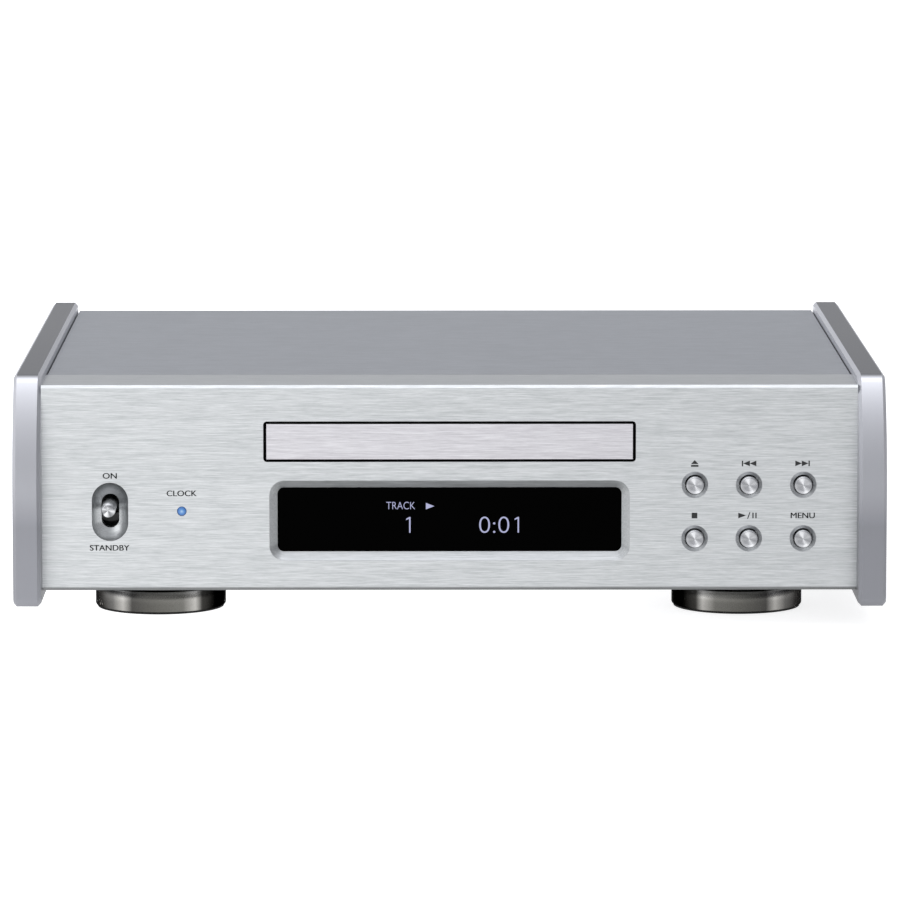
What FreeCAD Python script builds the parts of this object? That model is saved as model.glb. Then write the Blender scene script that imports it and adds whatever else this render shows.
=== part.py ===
import FreeCAD, Part
import math
import os
import re
import Sketcher

# Compact disc transport: a parametric assembly in millimetres. X runs to the right, the front
# faces -Y, Z is up, and the origin lies under the middle of the whole object on its resting plane.

doc = FreeCAD.newDocument("DiscPlayer")
V = FreeCAD.Vector

DIMENSIONS = {
    # Overall envelope and casing
    "overall_width": 290.0, "overall_depth": 253.0, "overall_height": 84.5,
    "body_depth": 232.0, "lever_reach": 12.6, "side_thickness": 9.2, "side_lead": 10.6,
    "side_bottom": 8.1, "side_bevel": 1.0, "panel_bottom": 12.3, "panel_top": 81.2,
    "panel_thickness": 8.0, "strip_depth": 30.1, "strip_thickness": 4.0,
    "panel_bevel": 0.9, "cover_gap": 0.5, "cover_thickness": 2.0, "sheet": 1.5,
    # Feet
    "foot_radius": 22.2, "foot_top": 7.8, "pad_thickness": 0.6, "foot_spread": 98.3,
    "foot_setback": 47.9, "rear_foot_inset": 38.0, "spike_radius": 8.5, "spike_seat": 3.0,
    # Front-panel features
    "tray_level": 62.3, "slot_width": 124.0, "slot_height": 13.6, "bezel_width": 121.9,
    "bezel_height": 11.8, "bezel_thickness": 3.0, "window_level": 35.8, "glass_width": 114.8,
    "glass_height": 21.6, "glass_recess": 3.2, "glass_thickness": 2.0, "window_bevel": 2.65,
    "key_first": 81.7, "key_pitch": 18.05, "key_upper": 47.7, "key_lower": 29.7,
    "key_hole": 3.35, "key_dish": 4.45, "key_dish_deep": 0.6, "key_radius": 2.95, "key_reach": 1.8,
    "toggle_side": -113.1, "toggle_level": 38.8, "dish_width": 12.1, "dish_tall": 19.6,
    "dish_deep": 3.5, "throat_width": 5.9, "throat_tall": 11.4, "lever_radius": 2.35,
    "lever_level": 41.0, "lever_pivot": 11.5, "lamp_side": -89.2, "lamp_level": 39.0,
    "lamp_radius": 1.5,
    # Disc loader
    "disc_centre": -43.0, "tray_half": 61.2, "tray_bottom": 58.0, "tray_rim": 63.5,
    "tray_floor": 60.0, "tray_length": 172.0, "disc_well": 60.4, "rail_half": 62.0,
    "rail_thickness": 4.0, "loader_floor": 24.0, "gear_module": 1.0, "rack_side": -47.0,
    "pinion_teeth": 20, "idler_teeth": 12, "lift": 7.0, "cam_travel": 16.0, "loader_rear": 62.0,
    "loader_plate": 2.0, "deck_level": 48.0, "hub_radius": 19.0, "sled_slot": 34.0,
    "grip_radius": 9.0, "grip_spread": 54.0, "grip_offset": 42.0, "axle_radius": 1.5,
    "axle_fit": 0.05, "motor_side": 12.0, "motor_setback": 25.9, "motor_radius": 9.5,
    "pulley_low": 51.0, "pulley_high": 54.5, "gear_top": 57.7, "pulley_radius": 12.0,
    "belt_level": 52.0, "bridge_level": 70.0,
    # Lifting traverse
    "plate_low": 40.0, "plate_high": 42.0, "lift_spread": 40.5, "lift_front": -66.0,
    "lift_rear": 32.0, "lift_radius": 2.5, "pin_spread": 18.0, "pin_level": 41.0,
    "pin_radius": 1.4, "rod_spread": 24.0, "rod_level": 46.5, "rod_radius": 1.5, "rod_fit": 0.1,
    "lead_side": 35.0, "lens_setback": -20.0, "lens_radius": 4.8, "spindle_radius": 1.5,
    # Electronics and fasteners
    "board_level": 20.0, "board_thickness": 1.6, "screw_radius": 1.5, "screw_fit": 0.05,
    "core_side": -100.0, "core_setback": 50.0, "core_radius": 31.0, "core_bore": 11.0,
    "core_top": 52.0, "capacitor_radius": 8.0, "capacitor_height": 30.0, "sink_height": 28.0,
    "fin_pitch": 6.75, "optical_size": 10.0, "inlet_width": 27.0, "inlet_height": 19.6,
}

sheet = doc.addObject("Spreadsheet::Sheet", "Dims")
for row, (alias, number) in enumerate(DIMENSIONS.items(), start=1):
    sheet.set(f"A{row}", alias)
    sheet.set(f"B{row}", str(number))
    sheet.setAlias(f"B{row}", alias)

# Positions that several sub-parts share, each worked out from the driving dimensions.
SHARED = {
    "loader_front": "lever_reach - overall_depth / 2 + 13",
    "cam_front": "lever_reach - overall_depth / 2 + 38",
    "motor_row": "lever_reach - overall_depth / 2 + motor_setback",
    "dish_ball": "(dish_width * dish_width / 4 + dish_deep * dish_deep) / (2 * dish_deep)",
    "dish_rise": "(dish_tall - dish_width) / 2",
    "half_width": "overall_width / 2",
    "face": "lever_reach - overall_depth / 2",
    "back": "lever_reach - overall_depth / 2 + body_depth",
    "tail": "overall_depth / 2",
    "panel_half": "overall_width / 2 - side_thickness",
    "panel_back": "lever_reach - overall_depth / 2 + panel_thickness",
    "strip_back": "lever_reach - overall_depth / 2 + strip_depth",
    "cover_under": "panel_top - cover_thickness",
    "floor_top": "panel_bottom + sheet",
    "drive_row": "lever_reach - overall_depth / 2 + 6 + 5 * pi * gear_module",
    "pinion_side": "rack_side + gear_module * pinion_teeth / 2",
    "idler_side": "rack_side + gear_module * (pinion_teeth + idler_teeth / 2)",
    "rear_outer": "lever_reach - overall_depth / 2 + body_depth - sheet",
    "rear_inner": "lever_reach - overall_depth / 2 + body_depth - sheet * 2",
}
SHARED_WORD = re.compile(r"\b(" + "|".join(SHARED) + r")\b")
SHEET_WORD = re.compile(r"\b(" + "|".join(DIMENSIONS) + r")\b")
doc.recompute()


def formula(text):
    """An expression whose plain words are read as shared positions and cells of the sheet."""
    spelled = SHARED_WORD.sub(lambda word: f"({SHARED[word.group()]})", str(text))
    return SHEET_WORD.sub(r"Dims.\1", spelled)


def value_of(text):
    return float(sheet.evalExpression(formula(text)))


def bind(thing, **sizes):
    for name, text in sizes.items():
        thing.setExpression(name.replace("__", "."), formula(text))
    return thing


def place(thing, x="0", y="0", z="0"):
    return bind(thing, Placement__Base__x=x, Placement__Base__y=y, Placement__Base__z=z)


def box(name, xs, ys, zs):
    """A block between two expressions along each axis."""
    block = doc.addObject("Part::Box", name)
    spans = [f"({high}) - ({low})" for low, high in (xs, ys, zs)]
    bind(block, Length=spans[0], Width=spans[1], Height=spans[2])
    return place(block, xs[0], ys[0], zs[0])


TURN = {"X": FreeCAD.Rotation(V(0, 1, 0), 90), "Y": FreeCAD.Rotation(V(1, 0, 0), -90),
        "Z": FreeCAD.Rotation()}


def rod(name, axis, radius, start, end, a, b):
    """A cylinder along an axis; a and b are its two other coordinates, in X, Y, Z order."""
    cylinder = doc.addObject("Part::Cylinder", name)
    cylinder.Placement = FreeCAD.Placement(V(), TURN[axis])
    bind(cylinder, Radius=radius, Height=f"({end}) - ({start})")
    spot = {"X": (start, a, b), "Y": (a, start, b), "Z": (a, b, start)}[axis]
    return place(cylinder, *spot)


def fuse(name, pieces):
    joined = doc.addObject("Part::MultiFuse", name)
    joined.Shapes = pieces
    return joined


def group(name, pieces):
    """Separate solids that share one node, such as identical screws."""
    bundle = doc.addObject("Part::Compound", name)
    bundle.Links = pieces
    return bundle


def cut(name, base, tools):
    """The base less every tool; the tools are joined first."""
    hollow = doc.addObject("Part::Cut", name)
    hollow.Base = base
    hollow.Tool = tools[0] if len(tools) == 1 else group(name + "_tools", tools)
    return hollow


def plane_of(body, role):
    return [plane for plane in body.Origin.OriginFeatures if plane.Role == role][0]


def outline(body, role, points, level="0"):
    """A closed sketch whose corners are tied to expressions in the sketch's own two axes."""
    sketch = body.newObject("Sketcher::SketchObject", body.Name + "_outline")
    sketch.AttachmentSupport = [(plane_of(body, role), "")]
    sketch.MapMode = "FlatFace"
    bind(sketch, AttachmentOffset__Base__z=level)
    count = len(points)
    rough = [V(value_of(u), value_of(v), 0) for u, v in points]
    for index in range(count):
        sketch.addGeometry(Part.LineSegment(rough[index], rough[(index + 1) % count]), False)
    for index in range(count):
        sketch.addConstraint(Sketcher.Constraint("Coincident", index, 2, (index + 1) % count, 1))
    for index, (u, v) in enumerate(points):
        for kind, text, value in (("DistanceX", u, rough[index].x), ("DistanceY", v, rough[index].y)):
            number = sketch.addConstraint(Sketcher.Constraint(kind, -1, 1, index, 1, value))
            sketch.setExpression(f"Constraints[{number}]", formula(text))
    return sketch


def prism(name, role, points, low, high, radius=None):
    """A padded outline between two levels; its edges along the pad can be rounded."""
    body = doc.addObject("PartDesign::Body", name)
    level = f"-({high})" if role == "XZ_Plane" else low
    sketch = outline(body, role, points, level)
    pad = body.newObject("PartDesign::Pad", name + "_pad")
    pad.Profile = sketch
    bind(pad, Length=f"({high}) - ({low})")
    doc.recompute()
    if radius is not None:
        along = {"XY_Plane": V(0, 0, 1), "XZ_Plane": V(0, 1, 0), "YZ_Plane": V(1, 0, 0)}[role]
        round_edges(body, pad, along, radius)
    return body


def round_edges(body, base, along, radius):
    edges = [f"Edge{number}" for number, edge in enumerate(base.Shape.Edges, start=1)
             if abs(edge.tangentAt(edge.FirstParameter).dot(along)) > 0.999]
    fillet = body.newObject("PartDesign::Fillet", body.Name + "_fillet")
    fillet.Base = (base, edges)
    bind(fillet, Radius=radius)
    return fillet


def frame_points(us, vs):
    return [(us[0], vs[0]), (us[1], vs[0]), (us[1], vs[1]), (us[0], vs[1])]


def turned(name, axis, profile, x="0", y="0", z="0"):
    """A turned part: profile holds (radius, distance along the axis) pairs."""
    body = doc.addObject("PartDesign::Body", name)
    role, turn_axis = {"Z": ("XZ_Plane", "V_Axis"), "Y": ("XY_Plane", "V_Axis")}[axis]
    sketch = outline(body, role, profile)
    solid = body.newObject("PartDesign::Revolution", name + "_turn")
    solid.Profile = sketch
    solid.ReferenceAxis = (sketch, [turn_axis])
    solid.Angle = 360
    return place(body, x, y, z)


# Each sub-part below lands in PARTS under the label that names its file. Posts and board screws
# come from several functions and share one node each.
PARTS = []
POSTS = []
BOARD_SCREWS = []


def keep(piece):
    piece.Label = piece.Name
    PARTS.append(piece)
    return piece


def span(centre, width):
    return (f"{centre} - ({width}) / 2", f"{centre} + ({width}) / 2")


# Casing

def front_panel():
    plate = box("panel_plate", ("-panel_half", "panel_half"), ("face", "panel_back"),
                ("panel_bottom", "panel_top"))
    strip = box("panel_strip", ("-panel_half", "panel_half"), ("panel_back", "strip_back"),
                ("panel_top - strip_thickness", "panel_top"))
    blank = fuse("panel_blank", [plate, strip])
    doc.recompute()
    rims = [number for number, edge in enumerate(blank.Shape.Edges, start=1)
            if abs(edge.CenterOfMass.y - value_of("face")) < 0.01 and edge.Length > 200]
    eased = doc.addObject("Part::Chamfer", "panel_eased")
    eased.Base = blank
    bevel = value_of("panel_bevel")
    eased.Edges = [(number, bevel, bevel) for number in rims]
    slot = prism("panel_slot", "XZ_Plane",
                 frame_points(span("0", "slot_width"), span("tray_level", "slot_height")),
                 "face - 1", "panel_back + 1", "1.2")
    pane = prism("panel_pane", "XZ_Plane",
                 frame_points(span("0", "glass_width"), span("window_level", "glass_height")),
                 "face - 1", "panel_back + 1", "2.2")
    seat = box("panel_seat", span("0", "glass_width + 4"),
               ("face + glass_recess", "panel_back + 1"), span("window_level", "glass_height + 4"))
    bevelled = window_bevel()
    holes = [turned(f"panel_key_hole_{column}_{level}", "Y",
                    [("0", "-1"), ("key_dish", "-1"), ("key_dish", "0"), ("key_hole", "key_dish_deep"),
                     ("key_hole", "panel_thickness + 1"), ("0", "panel_thickness + 1")],
                    f"key_first + {column} * key_pitch", "face", level)
             for column in range(3) for level in ("key_upper", "key_lower")]
    dish = [rod("panel_dish_run", "Z", "dish_ball", "toggle_level - dish_rise",
                "toggle_level + dish_rise", "toggle_side", "face - dish_ball + dish_deep")]
    for name, side in (("panel_dish_high", 1), ("panel_dish_low", -1)):
        ball = doc.addObject("Part::Sphere", name)
        bind(ball, Radius="dish_ball")
        dish.append(place(ball, "toggle_side", "face - dish_ball + dish_deep",
                          f"toggle_level + {side} * dish_rise"))
    throat = prism("panel_throat", "XZ_Plane",
                   frame_points(span("toggle_side", "throat_width"),
                                span("toggle_level", "throat_tall")),
                   "face - 1", "panel_back + 1", "throat_width / 2 - 0.01")
    lamp = rod("panel_lamp_hole", "Y", "lamp_radius + 0.1", "face - 1", "panel_back + 1",
               "lamp_side", "lamp_level")
    keep(cut("front_panel", eased, [slot, pane, seat, bevelled, throat, lamp] + dish + holes))


def window_bevel():
    """The sloping surround of the window: a rounded block whose inner rim is chamfered away."""
    body = prism("panel_window_bevel", "XZ_Plane",
                 frame_points(span("0", "glass_width + 2 * window_bevel"),
                              span("window_level", "glass_height + 2 * window_bevel")),
                 "face - 1", "face + glass_recess - 0.3", "5")
    doc.recompute()
    rounded = body.Tip
    inner = value_of("face + glass_recess - 0.3")
    rim = [f"Edge{number}" for number, edge in enumerate(rounded.Shape.Edges, start=1)
           if abs(edge.CenterOfMass.y - inner) < 0.01]
    chamfer = body.newObject("PartDesign::Chamfer", "panel_window_chamfer")
    chamfer.Base = (rounded, rim)
    bind(chamfer, Size="window_bevel")
    return body


def side_panel(name, inner, outer):
    """A thick end plate whose front edge leans back towards the top."""
    body = doc.addObject("PartDesign::Body", name)
    front = "face - side_lead"
    points = [(front + " + 1", "side_bottom"), ("back", "side_bottom"), ("back", "overall_height"),
              (front + " + 12", "overall_height"), (front + " + 7.6", "overall_height - 4"),
              (front + " + 3.9", "overall_height - 19"), (front, "overall_height - 40"),
              (front, "side_bottom + 1")]
    sketch = outline(body, "YZ_Plane", points, inner)
    pad = body.newObject("PartDesign::Pad", name + "_pad")
    pad.Profile = sketch
    bind(pad, Length=f"({outer}) - ({inner})")
    doc.recompute()
    rims = [f"Edge{number}" for number, edge in enumerate(pad.Shape.Edges, start=1)
            if abs(edge.tangentAt(edge.FirstParameter).x) < 0.01]
    chamfer = body.newObject("PartDesign::Chamfer", name + "_chamfer")
    chamfer.Base = (pad, rims)
    bind(chamfer, Size="side_bevel")
    return body


def side_panels():
    walls = []
    screws = []
    for name, inner, outer, side in (("side_panel_left", "-half_width", "-panel_half", -1),
                                     ("side_panel_right", "panel_half", "half_width", 1)):
        plate = side_panel(name + "_plate", inner, outer)
        flange = f"{side} * (panel_half - sheet)"
        holes = []
        for number, row in enumerate(("-70", "20", "95")):
            for column, level in enumerate(("24", "66")):
                tag = f"{name}_{number}{column}"
                ends = (flange, f"{side} * (panel_half + 6)")
                low, high = ends if side > 0 else ends[::-1]
                holes.append(rod(tag + "_hole", "X", "screw_radius + screw_fit", low, high, row,
                                 level))
                shank = rod(tag + "_shank", "X", "screw_radius", low, high, row, level)
                head_ends = (f"{side} * (panel_half - sheet - 2)", flange)
                low, high = head_ends if side > 0 else head_ends[::-1]
                head = rod(tag + "_head", "X", "2.8", low, high, row, level)
                screws.append(fuse(tag + "_screw", [shank, head]))
        keep(cut(name, plate, holes))
        wall = box(name + "_wall", (flange, f"{side} * panel_half") if side > 0 else
                   (f"{side} * panel_half", flange), ("panel_back + 1", "rear_inner"),
                   ("floor_top", "panel_top - strip_thickness"))
        walls.append(cut(name + "_inner_wall", wall, [doc.copyObject(hole) for hole in holes]))
    keep(group("chassis_sides", walls))
    keep(group("side_panel_screws", screws))


def cover():
    """The flat top sheet, folded down over the rear panel."""
    top = box("cover_top", ("cover_gap - panel_half", "panel_half - cover_gap"),
              ("strip_back + 0.2", "back"), ("cover_under", "panel_top"))
    flange = box("cover_flange", ("cover_gap - panel_half", "panel_half - cover_gap"),
                 ("rear_outer", "back"), ("cover_under - 8", "cover_under"))
    lips = [("-100", "74"), ("0", "74"), ("100", "74")]
    holes = [rod(f"cover_hole_{number}", "Y", "screw_radius + screw_fit", "rear_outer - 1",
                 "back + 1", x, z) for number, (x, z) in enumerate(lips)]
    keep(cut("top_cover", fuse("cover_shell", [top, flange]), holes))


FOOT_SPOTS = {"foot_front_left": ("-foot_spread", "face + foot_setback"),
              "foot_front_right": ("foot_spread", "face + foot_setback"),
              "foot_rear": ("0", "back - rear_foot_inset")}


def chassis():
    """The floor, with a lug behind each lower screw of the rear panel."""
    floor = box("chassis_floor", ("-panel_half", "panel_half"), ("panel_back + 0.2", "rear_outer"),
                ("panel_bottom", "floor_top"))
    holes = [rod(f"floor_hole_{number}", "Z", "2.5", "panel_bottom - 1", "floor_top + 1", x, y)
             for number, (x, y) in enumerate(FOOT_SPOTS.values())]
    lugs = []
    for number, x in enumerate(("-100", "0", "100")):
        lugs.append(box(f"floor_lug_{number}", span(x, "8"), ("rear_inner - 6", "rear_inner"),
                        ("floor_top - 1", "floor_top + 11")))
        holes.append(rod(f"floor_lug_hole_{number}", "Y", "screw_radius + screw_fit",
                         "rear_inner - 7", "rear_inner + 1", x, "20"))
    keep(cut("bottom_chassis", fuse("chassis_blank", [floor] + lugs), holes))


def feet():
    """Cups on thin pads, each carrying the chassis on one spike."""
    pads = []
    spikes = []
    for name, (x, y) in FOOT_SPOTS.items():
        cup = [("0", "pad_thickness"), ("foot_radius - 0.5", "pad_thickness"),
               ("foot_radius", "pad_thickness + 0.5"), ("foot_radius", "foot_top - 0.4"),
               ("foot_radius - 0.4", "foot_top"), ("spike_radius + 1.5", "foot_top"),
               ("spike_radius + 1.5", "foot_top - 2"), ("2", "spike_seat"), ("0", "spike_seat")]
        keep(turned(name, "Z", cup, x, y))
        spike = [("0", "spike_seat"), ("0.6", "spike_seat"), ("spike_radius", "foot_top + 0.4"),
                 ("spike_radius", "panel_bottom"), ("2.45", "panel_bottom"),
                 ("2.45", "floor_top + 3"), ("0", "floor_top + 3")]
        spikes.append(turned(name + "_spike", "Z", spike, x, y))
        pads.append(rod(name + "_pad", "Z", "foot_radius - 0.7", "0", "pad_thickness", x, y))
    keep(group("foot_spikes", spikes))
    keep(group("foot_pads", pads))


REAR_SPOTS = {"coax": ("58", "40"), "clock": ("106", "40")}
OPTICAL = ("82", "40")
INLET = ("-95", "40")


def rear_panel():
    plate = box("rear_plate", ("sheet - panel_half", "panel_half - sheet"),
                ("rear_inner", "rear_outer"), ("floor_top", "cover_under"))
    holes = [rod("rear_hole_coax", "Y", "3.2", "rear_inner - 1", "rear_outer + 1",
                 *REAR_SPOTS["coax"]),
             rod("rear_hole_clock", "Y", "4.2", "rear_inner - 1", "rear_outer + 1",
                 *REAR_SPOTS["clock"]),
             box("rear_hole_optical", span(OPTICAL[0], "10.4"), ("rear_inner - 1", "rear_outer + 1"),
                 span(OPTICAL[1], "10.4")),
             box("rear_hole_inlet", span(INLET[0], "28"), ("rear_inner - 1", "rear_outer + 1"),
                 span(INLET[1], "20.4"))]
    screws = []
    spots = [(x, z) for x in ("-100", "0", "100") for z in ("20", "74")]
    for number, (x, z) in enumerate(spots):
        holes.append(rod(f"rear_screw_hole_{number}", "Y", "screw_radius + screw_fit",
                         "rear_inner - 1", "rear_outer + 1", x, z))
        outer = "back" if z == "74" else "rear_outer"
        shank = rod(f"rear_screw_{number}_shank", "Y", "screw_radius", "rear_inner - 3", outer, x, z)
        head = rod(f"rear_screw_{number}_head", "Y", "2.8", outer, f"{outer} + 1.8", x, z)
        screws.append(fuse(f"rear_screw_{number}", [shank, head]))
    keep(cut("rear_panel", plate, holes))
    keep(group("rear_screws", screws))


# Front controls and display

def display():
    pane = prism("display_window", "XZ_Plane",
                 frame_points(span("0", "glass_width + 3"), span("window_level", "glass_height + 3")),
                 "face + glass_recess", "face + glass_recess + glass_thickness", "3")
    keep(pane)
    start = "face + glass_recess + glass_thickness"
    module = box("display_cell", span("0", "glass_width + 1"), (start, f"{start} + 4"),
                 span("window_level", "glass_height + 1"))
    board = box("display_board", span("0", "glass_width + 10"), (f"{start} + 4", f"{start} + 5.6"),
                span("window_level", "glass_height + 8"))
    keep(fuse("display_module", [module, board]))


KEYS = {"eject": (0, "key_upper"), "previous": (1, "key_upper"), "next": (2, "key_upper"),
        "stop": (0, "key_lower"), "play_pause": (1, "key_lower"), "menu": (2, "key_lower")}


def keys():
    """Turned caps held by a flange behind the panel, with switches a little more than their
    travel behind them."""
    switches = []
    for name, (column, level) in KEYS.items():
        x = f"key_first + {column} * key_pitch"
        cap = [("0", "-key_reach"), ("key_radius - 0.3", "-key_reach"),
               ("key_radius", "0.3 - key_reach"), ("key_radius", "panel_thickness + 0.1"),
               ("key_dish", "panel_thickness + 0.1"), ("key_dish", "panel_thickness + 1.1"),
               ("0", "panel_thickness + 1.1")]
        keep(turned("button_" + name, "Y", cap, x, "face", level))
        body = box(f"switch_{name}_body", span(x, "6"), ("panel_back + 2.4", "panel_back + 5"),
                   span(level, "6"))
        stem = rod(f"switch_{name}_stem", "Y", "1.6", "panel_back + 2", "panel_back + 2.4", x, level)
        switches += [body, stem]
    slab = box("key_board_slab", span("key_first + key_pitch", "52"),
               ("panel_back + 5", "panel_back + 6.6"), span("(key_upper + key_lower) / 2", "32"))
    keep(fuse("key_board", [slab] + switches))
    POSTS.extend([rod(f"key_post_{number}", "Y", "2.5", "panel_back", "panel_back + 5",
                      f"key_first + key_pitch + {x}", "(key_upper + key_lower) / 2")
                  for number, x in enumerate((-23.5, -9, 9, 23.5))])


def toggle():
    lever = [("0", "-lever_reach"), ("lever_radius - 0.6", "-lever_reach"),
             ("lever_radius", "0.6 - lever_reach"), ("lever_radius", "lever_pivot + 2"),
             ("0", "lever_pivot + 2")]
    shaft = turned("toggle_shaft", "Y", lever, "toggle_side", "face", "lever_level")
    pin = rod("toggle_pin", "X", "1", "toggle_side - 4.4", "toggle_side + 4.4",
              "face + lever_pivot", "lever_level")
    keep(fuse("toggle_lever", [shaft, pin]))
    collar = rod("toggle_collar", "Y", "6.4", "panel_back", "panel_back + 7", "toggle_side",
                 "lever_level")
    block = box("toggle_block", span("toggle_side", "14"), ("panel_back + 6", "panel_back + 24"),
                span("lever_level", "20"))
    bore = rod("toggle_bore", "Y", "4.1", "panel_back - 1", "panel_back + 7", "toggle_side",
               "lever_level")
    bearing = rod("toggle_bearing", "X", "1.03", "toggle_side - 4.5", "toggle_side + 4.5",
                  "face + lever_pivot", "lever_level")
    keep(cut("toggle_switch", fuse("toggle_housing", [collar, block]), [bore, bearing]))


def lamp():
    dome = [("0", "-0.5"), ("lamp_radius - 0.5", "-0.3"), ("lamp_radius", "0.2"),
            ("lamp_radius", "panel_thickness + 1"), ("lamp_radius + 0.6", "panel_thickness + 1"),
            ("lamp_radius + 0.6", "panel_thickness + 2"), ("0", "panel_thickness + 2")]
    keep(turned("status_lamp", "Y", dome, "lamp_side", "face", "lamp_level"))


# Disc tray and its loader

def disc_tray():
    """The tray with its disc well, the hole over the spindle and pickup, and a rack below."""
    rear = "face + tray_length"
    slab = box("tray_slab", ("-tray_half", "tray_half"), ("face + bezel_thickness", rear),
               ("tray_bottom", "tray_rim"))
    rack = toothed_bar("tray_rack")
    well = rod("tray_well", "Z", "disc_well", "tray_floor", "tray_rim + 1", "0", "disc_centre")
    hub = rod("tray_hub_hole", "Z", "hub_radius", "tray_bottom - 1", "tray_rim", "0", "disc_centre")
    slot = box("tray_sled_slot", span("0", "sled_slot"), ("disc_centre", "disc_centre + 59"),
               ("tray_bottom - 1", "tray_rim"))
    grips = [rod(f"tray_grip_{side}", "Z", "grip_radius", "tray_bottom - 1", "tray_rim + 1",
                 f"{side} * grip_spread", "disc_centre - grip_offset") for side in (-1, 1)]
    solid = cut("tray_body", slab, [well, hub, slot] + grips)
    keep(fuse("disc_tray", [solid, rack]))
    keep(box("tray_front", span("0", "bezel_width"), ("face", "face + bezel_thickness"),
             span("tray_level", "bezel_height")))


def tooth(root, tip, centre):
    """Four corners of one straight-sided tooth, as (height, position along the pitch line)."""
    return [(root, centre - 0.95), (tip, centre - 0.35), (tip, centre + 0.35), (root, centre + 0.95)]


def solid_from(name, points, height, level):
    """An upright solid from a worked-out outline, for shapes that no primitive has."""
    piece = doc.addObject("Part::Feature", name)
    loop = [V(x, y, 0) for x, y in points]
    piece.Shape = Part.Face(Part.makePolygon(loop + loop[:1])).extrude(V(0, 0, height))
    return place(piece, "0", "0", level)


def toothed_bar(name):
    """A straight rack whose teeth point to +X."""
    module = value_of("gear_module")
    pitch = math.pi * module
    side = value_of("rack_side")
    root, tip = side - 0.9 * module, side + 0.7 * module
    start = value_of("face") + 6
    count = int((value_of("tray_length") - 12) / pitch)
    points = [(root - 3, start)]
    for number in range(count):
        points += tooth(root, tip, start + (number + 0.5) * pitch)
    points.append((root - 3, start + count * pitch))
    return solid_from(name, points, 2.1, "tray_bottom - 2")


def gear(name, teeth, x, y, phase, low, high):
    """A spur gear whose first tooth points at the phase angle, in degrees."""
    teeth = int(value_of(teeth))
    module = value_of("gear_module")
    pitch_radius = module * teeth / 2
    root, tip = pitch_radius - 0.9 * module, pitch_radius + 0.7 * module
    points = []
    for number in range(teeth):
        turn = math.radians(phase + number * 360 / teeth)
        for radius, along in tooth(root, tip, 0):
            angle = turn + along / radius
            points.append((value_of(x) + radius * math.cos(angle),
                           value_of(y) + radius * math.sin(angle)))
    return solid_from(name, points, value_of(high) - value_of(low), low)


def loader_frame():
    """Floor, deck and guide posts of the loader, and the two rails that the tray runs in."""
    floor = box("loader_plate", ("-rail_half", "rail_half"), ("loader_front", "loader_rear"),
                ("loader_floor", "loader_floor + loader_plate"))
    wall = box("loader_wall", ("-rail_half", "rail_half"),
               ("loader_front", "loader_front + loader_plate"),
               ("loader_floor + loader_plate", "deck_level"))
    deck_top = "deck_level + loader_plate"
    deck = box("loader_deck", ("-rail_half", "rail_half"), ("loader_front", "cam_front - 2"),
               ("deck_level", deck_top))
    guide = box("loader_cam_guide", ("-50", "rail_half"), ("cam_front - 1", "cam_front + 4"),
                ("loader_floor + loader_plate", "33.8"))
    posts = [rod(f"loader_lift_post_{side}_{row}", "Z", "lift_radius", "loader_floor + loader_plate",
                 "56", f"{side} * lift_spread", row)
             for side in (-1, 1) for row in ("lift_front", "lift_rear")]
    axles = [rod(f"loader_{name}_axle", "Z", "axle_radius", deck_top, "gear_top - 0.1", x, "drive_row")
             for name, x in (("pinion", "pinion_side"), ("idler", "idler_side"))]
    shaft_hole = rod("loader_shaft_hole", "Z", "axle_radius + 0.5", "deck_level - 1",
                     "deck_level + 3", "motor_side", "motor_row")
    blank = fuse("loader_blank", [floor, wall, deck, guide] + posts + axles)
    keep(cut("loader_base", blank, [shaft_hole]))
    rails = []
    for name, side in (("tray_rail_left", -1), ("tray_rail_right", 1)):
        wide = sorted([f"{side} * rail_half", f"{side} * (rail_half + rail_thickness)"], key=value_of)
        ledge = sorted([f"{side} * rail_half", f"{side} * (rail_half - 6)"], key=value_of)
        upright = box(name + "_wall", wide, ("loader_front", "loader_rear"),
                      ("loader_floor", "bridge_level"))
        shelf = box(name + "_ledge", ledge, ("loader_front", "loader_rear"),
                    ("tray_bottom - 2.3", "tray_bottom - 0.3"))
        rails.append(fuse(name, [upright, shelf]))
    keep(group("tray_rails", rails))
    spots = [(x, y) for x in ("-52", "52") for y in ("face + 20", "52")]
    POSTS.extend([rod(f"loader_post_{number}", "Z", "4", "floor_top", "20", x, y)
                  for number, (x, y) in enumerate(spots)])
    keep(group("damper_grommets", [rod(f"grommet_{number}", "Z", "6", "20", "loader_floor", x, y)
                                   for number, (x, y) in enumerate(spots)]))


def clamp():
    span_plate = box("bridge_plate", ("-rail_half - rail_thickness", "rail_half + rail_thickness"),
                     span("disc_centre", "26"), ("bridge_level", "bridge_level + 2.5"))
    hole = rod("bridge_hole", "Z", "6.6", "bridge_level - 1", "bridge_level + 3", "0", "disc_centre")
    keep(cut("clamp_bridge", span_plate, [hole]))
    puck = [("0", "65"), ("15.5", "65"), ("16", "65.5"), ("16", "69"), ("15.5", "69.5"),
            ("6", "69.5"), ("6", "72.8"), ("10.5", "72.8"), ("10.5", "74.2"), ("0", "74.2")]
    keep(turned("disc_clamper", "Z", puck, "0", "disc_centre"))


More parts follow.
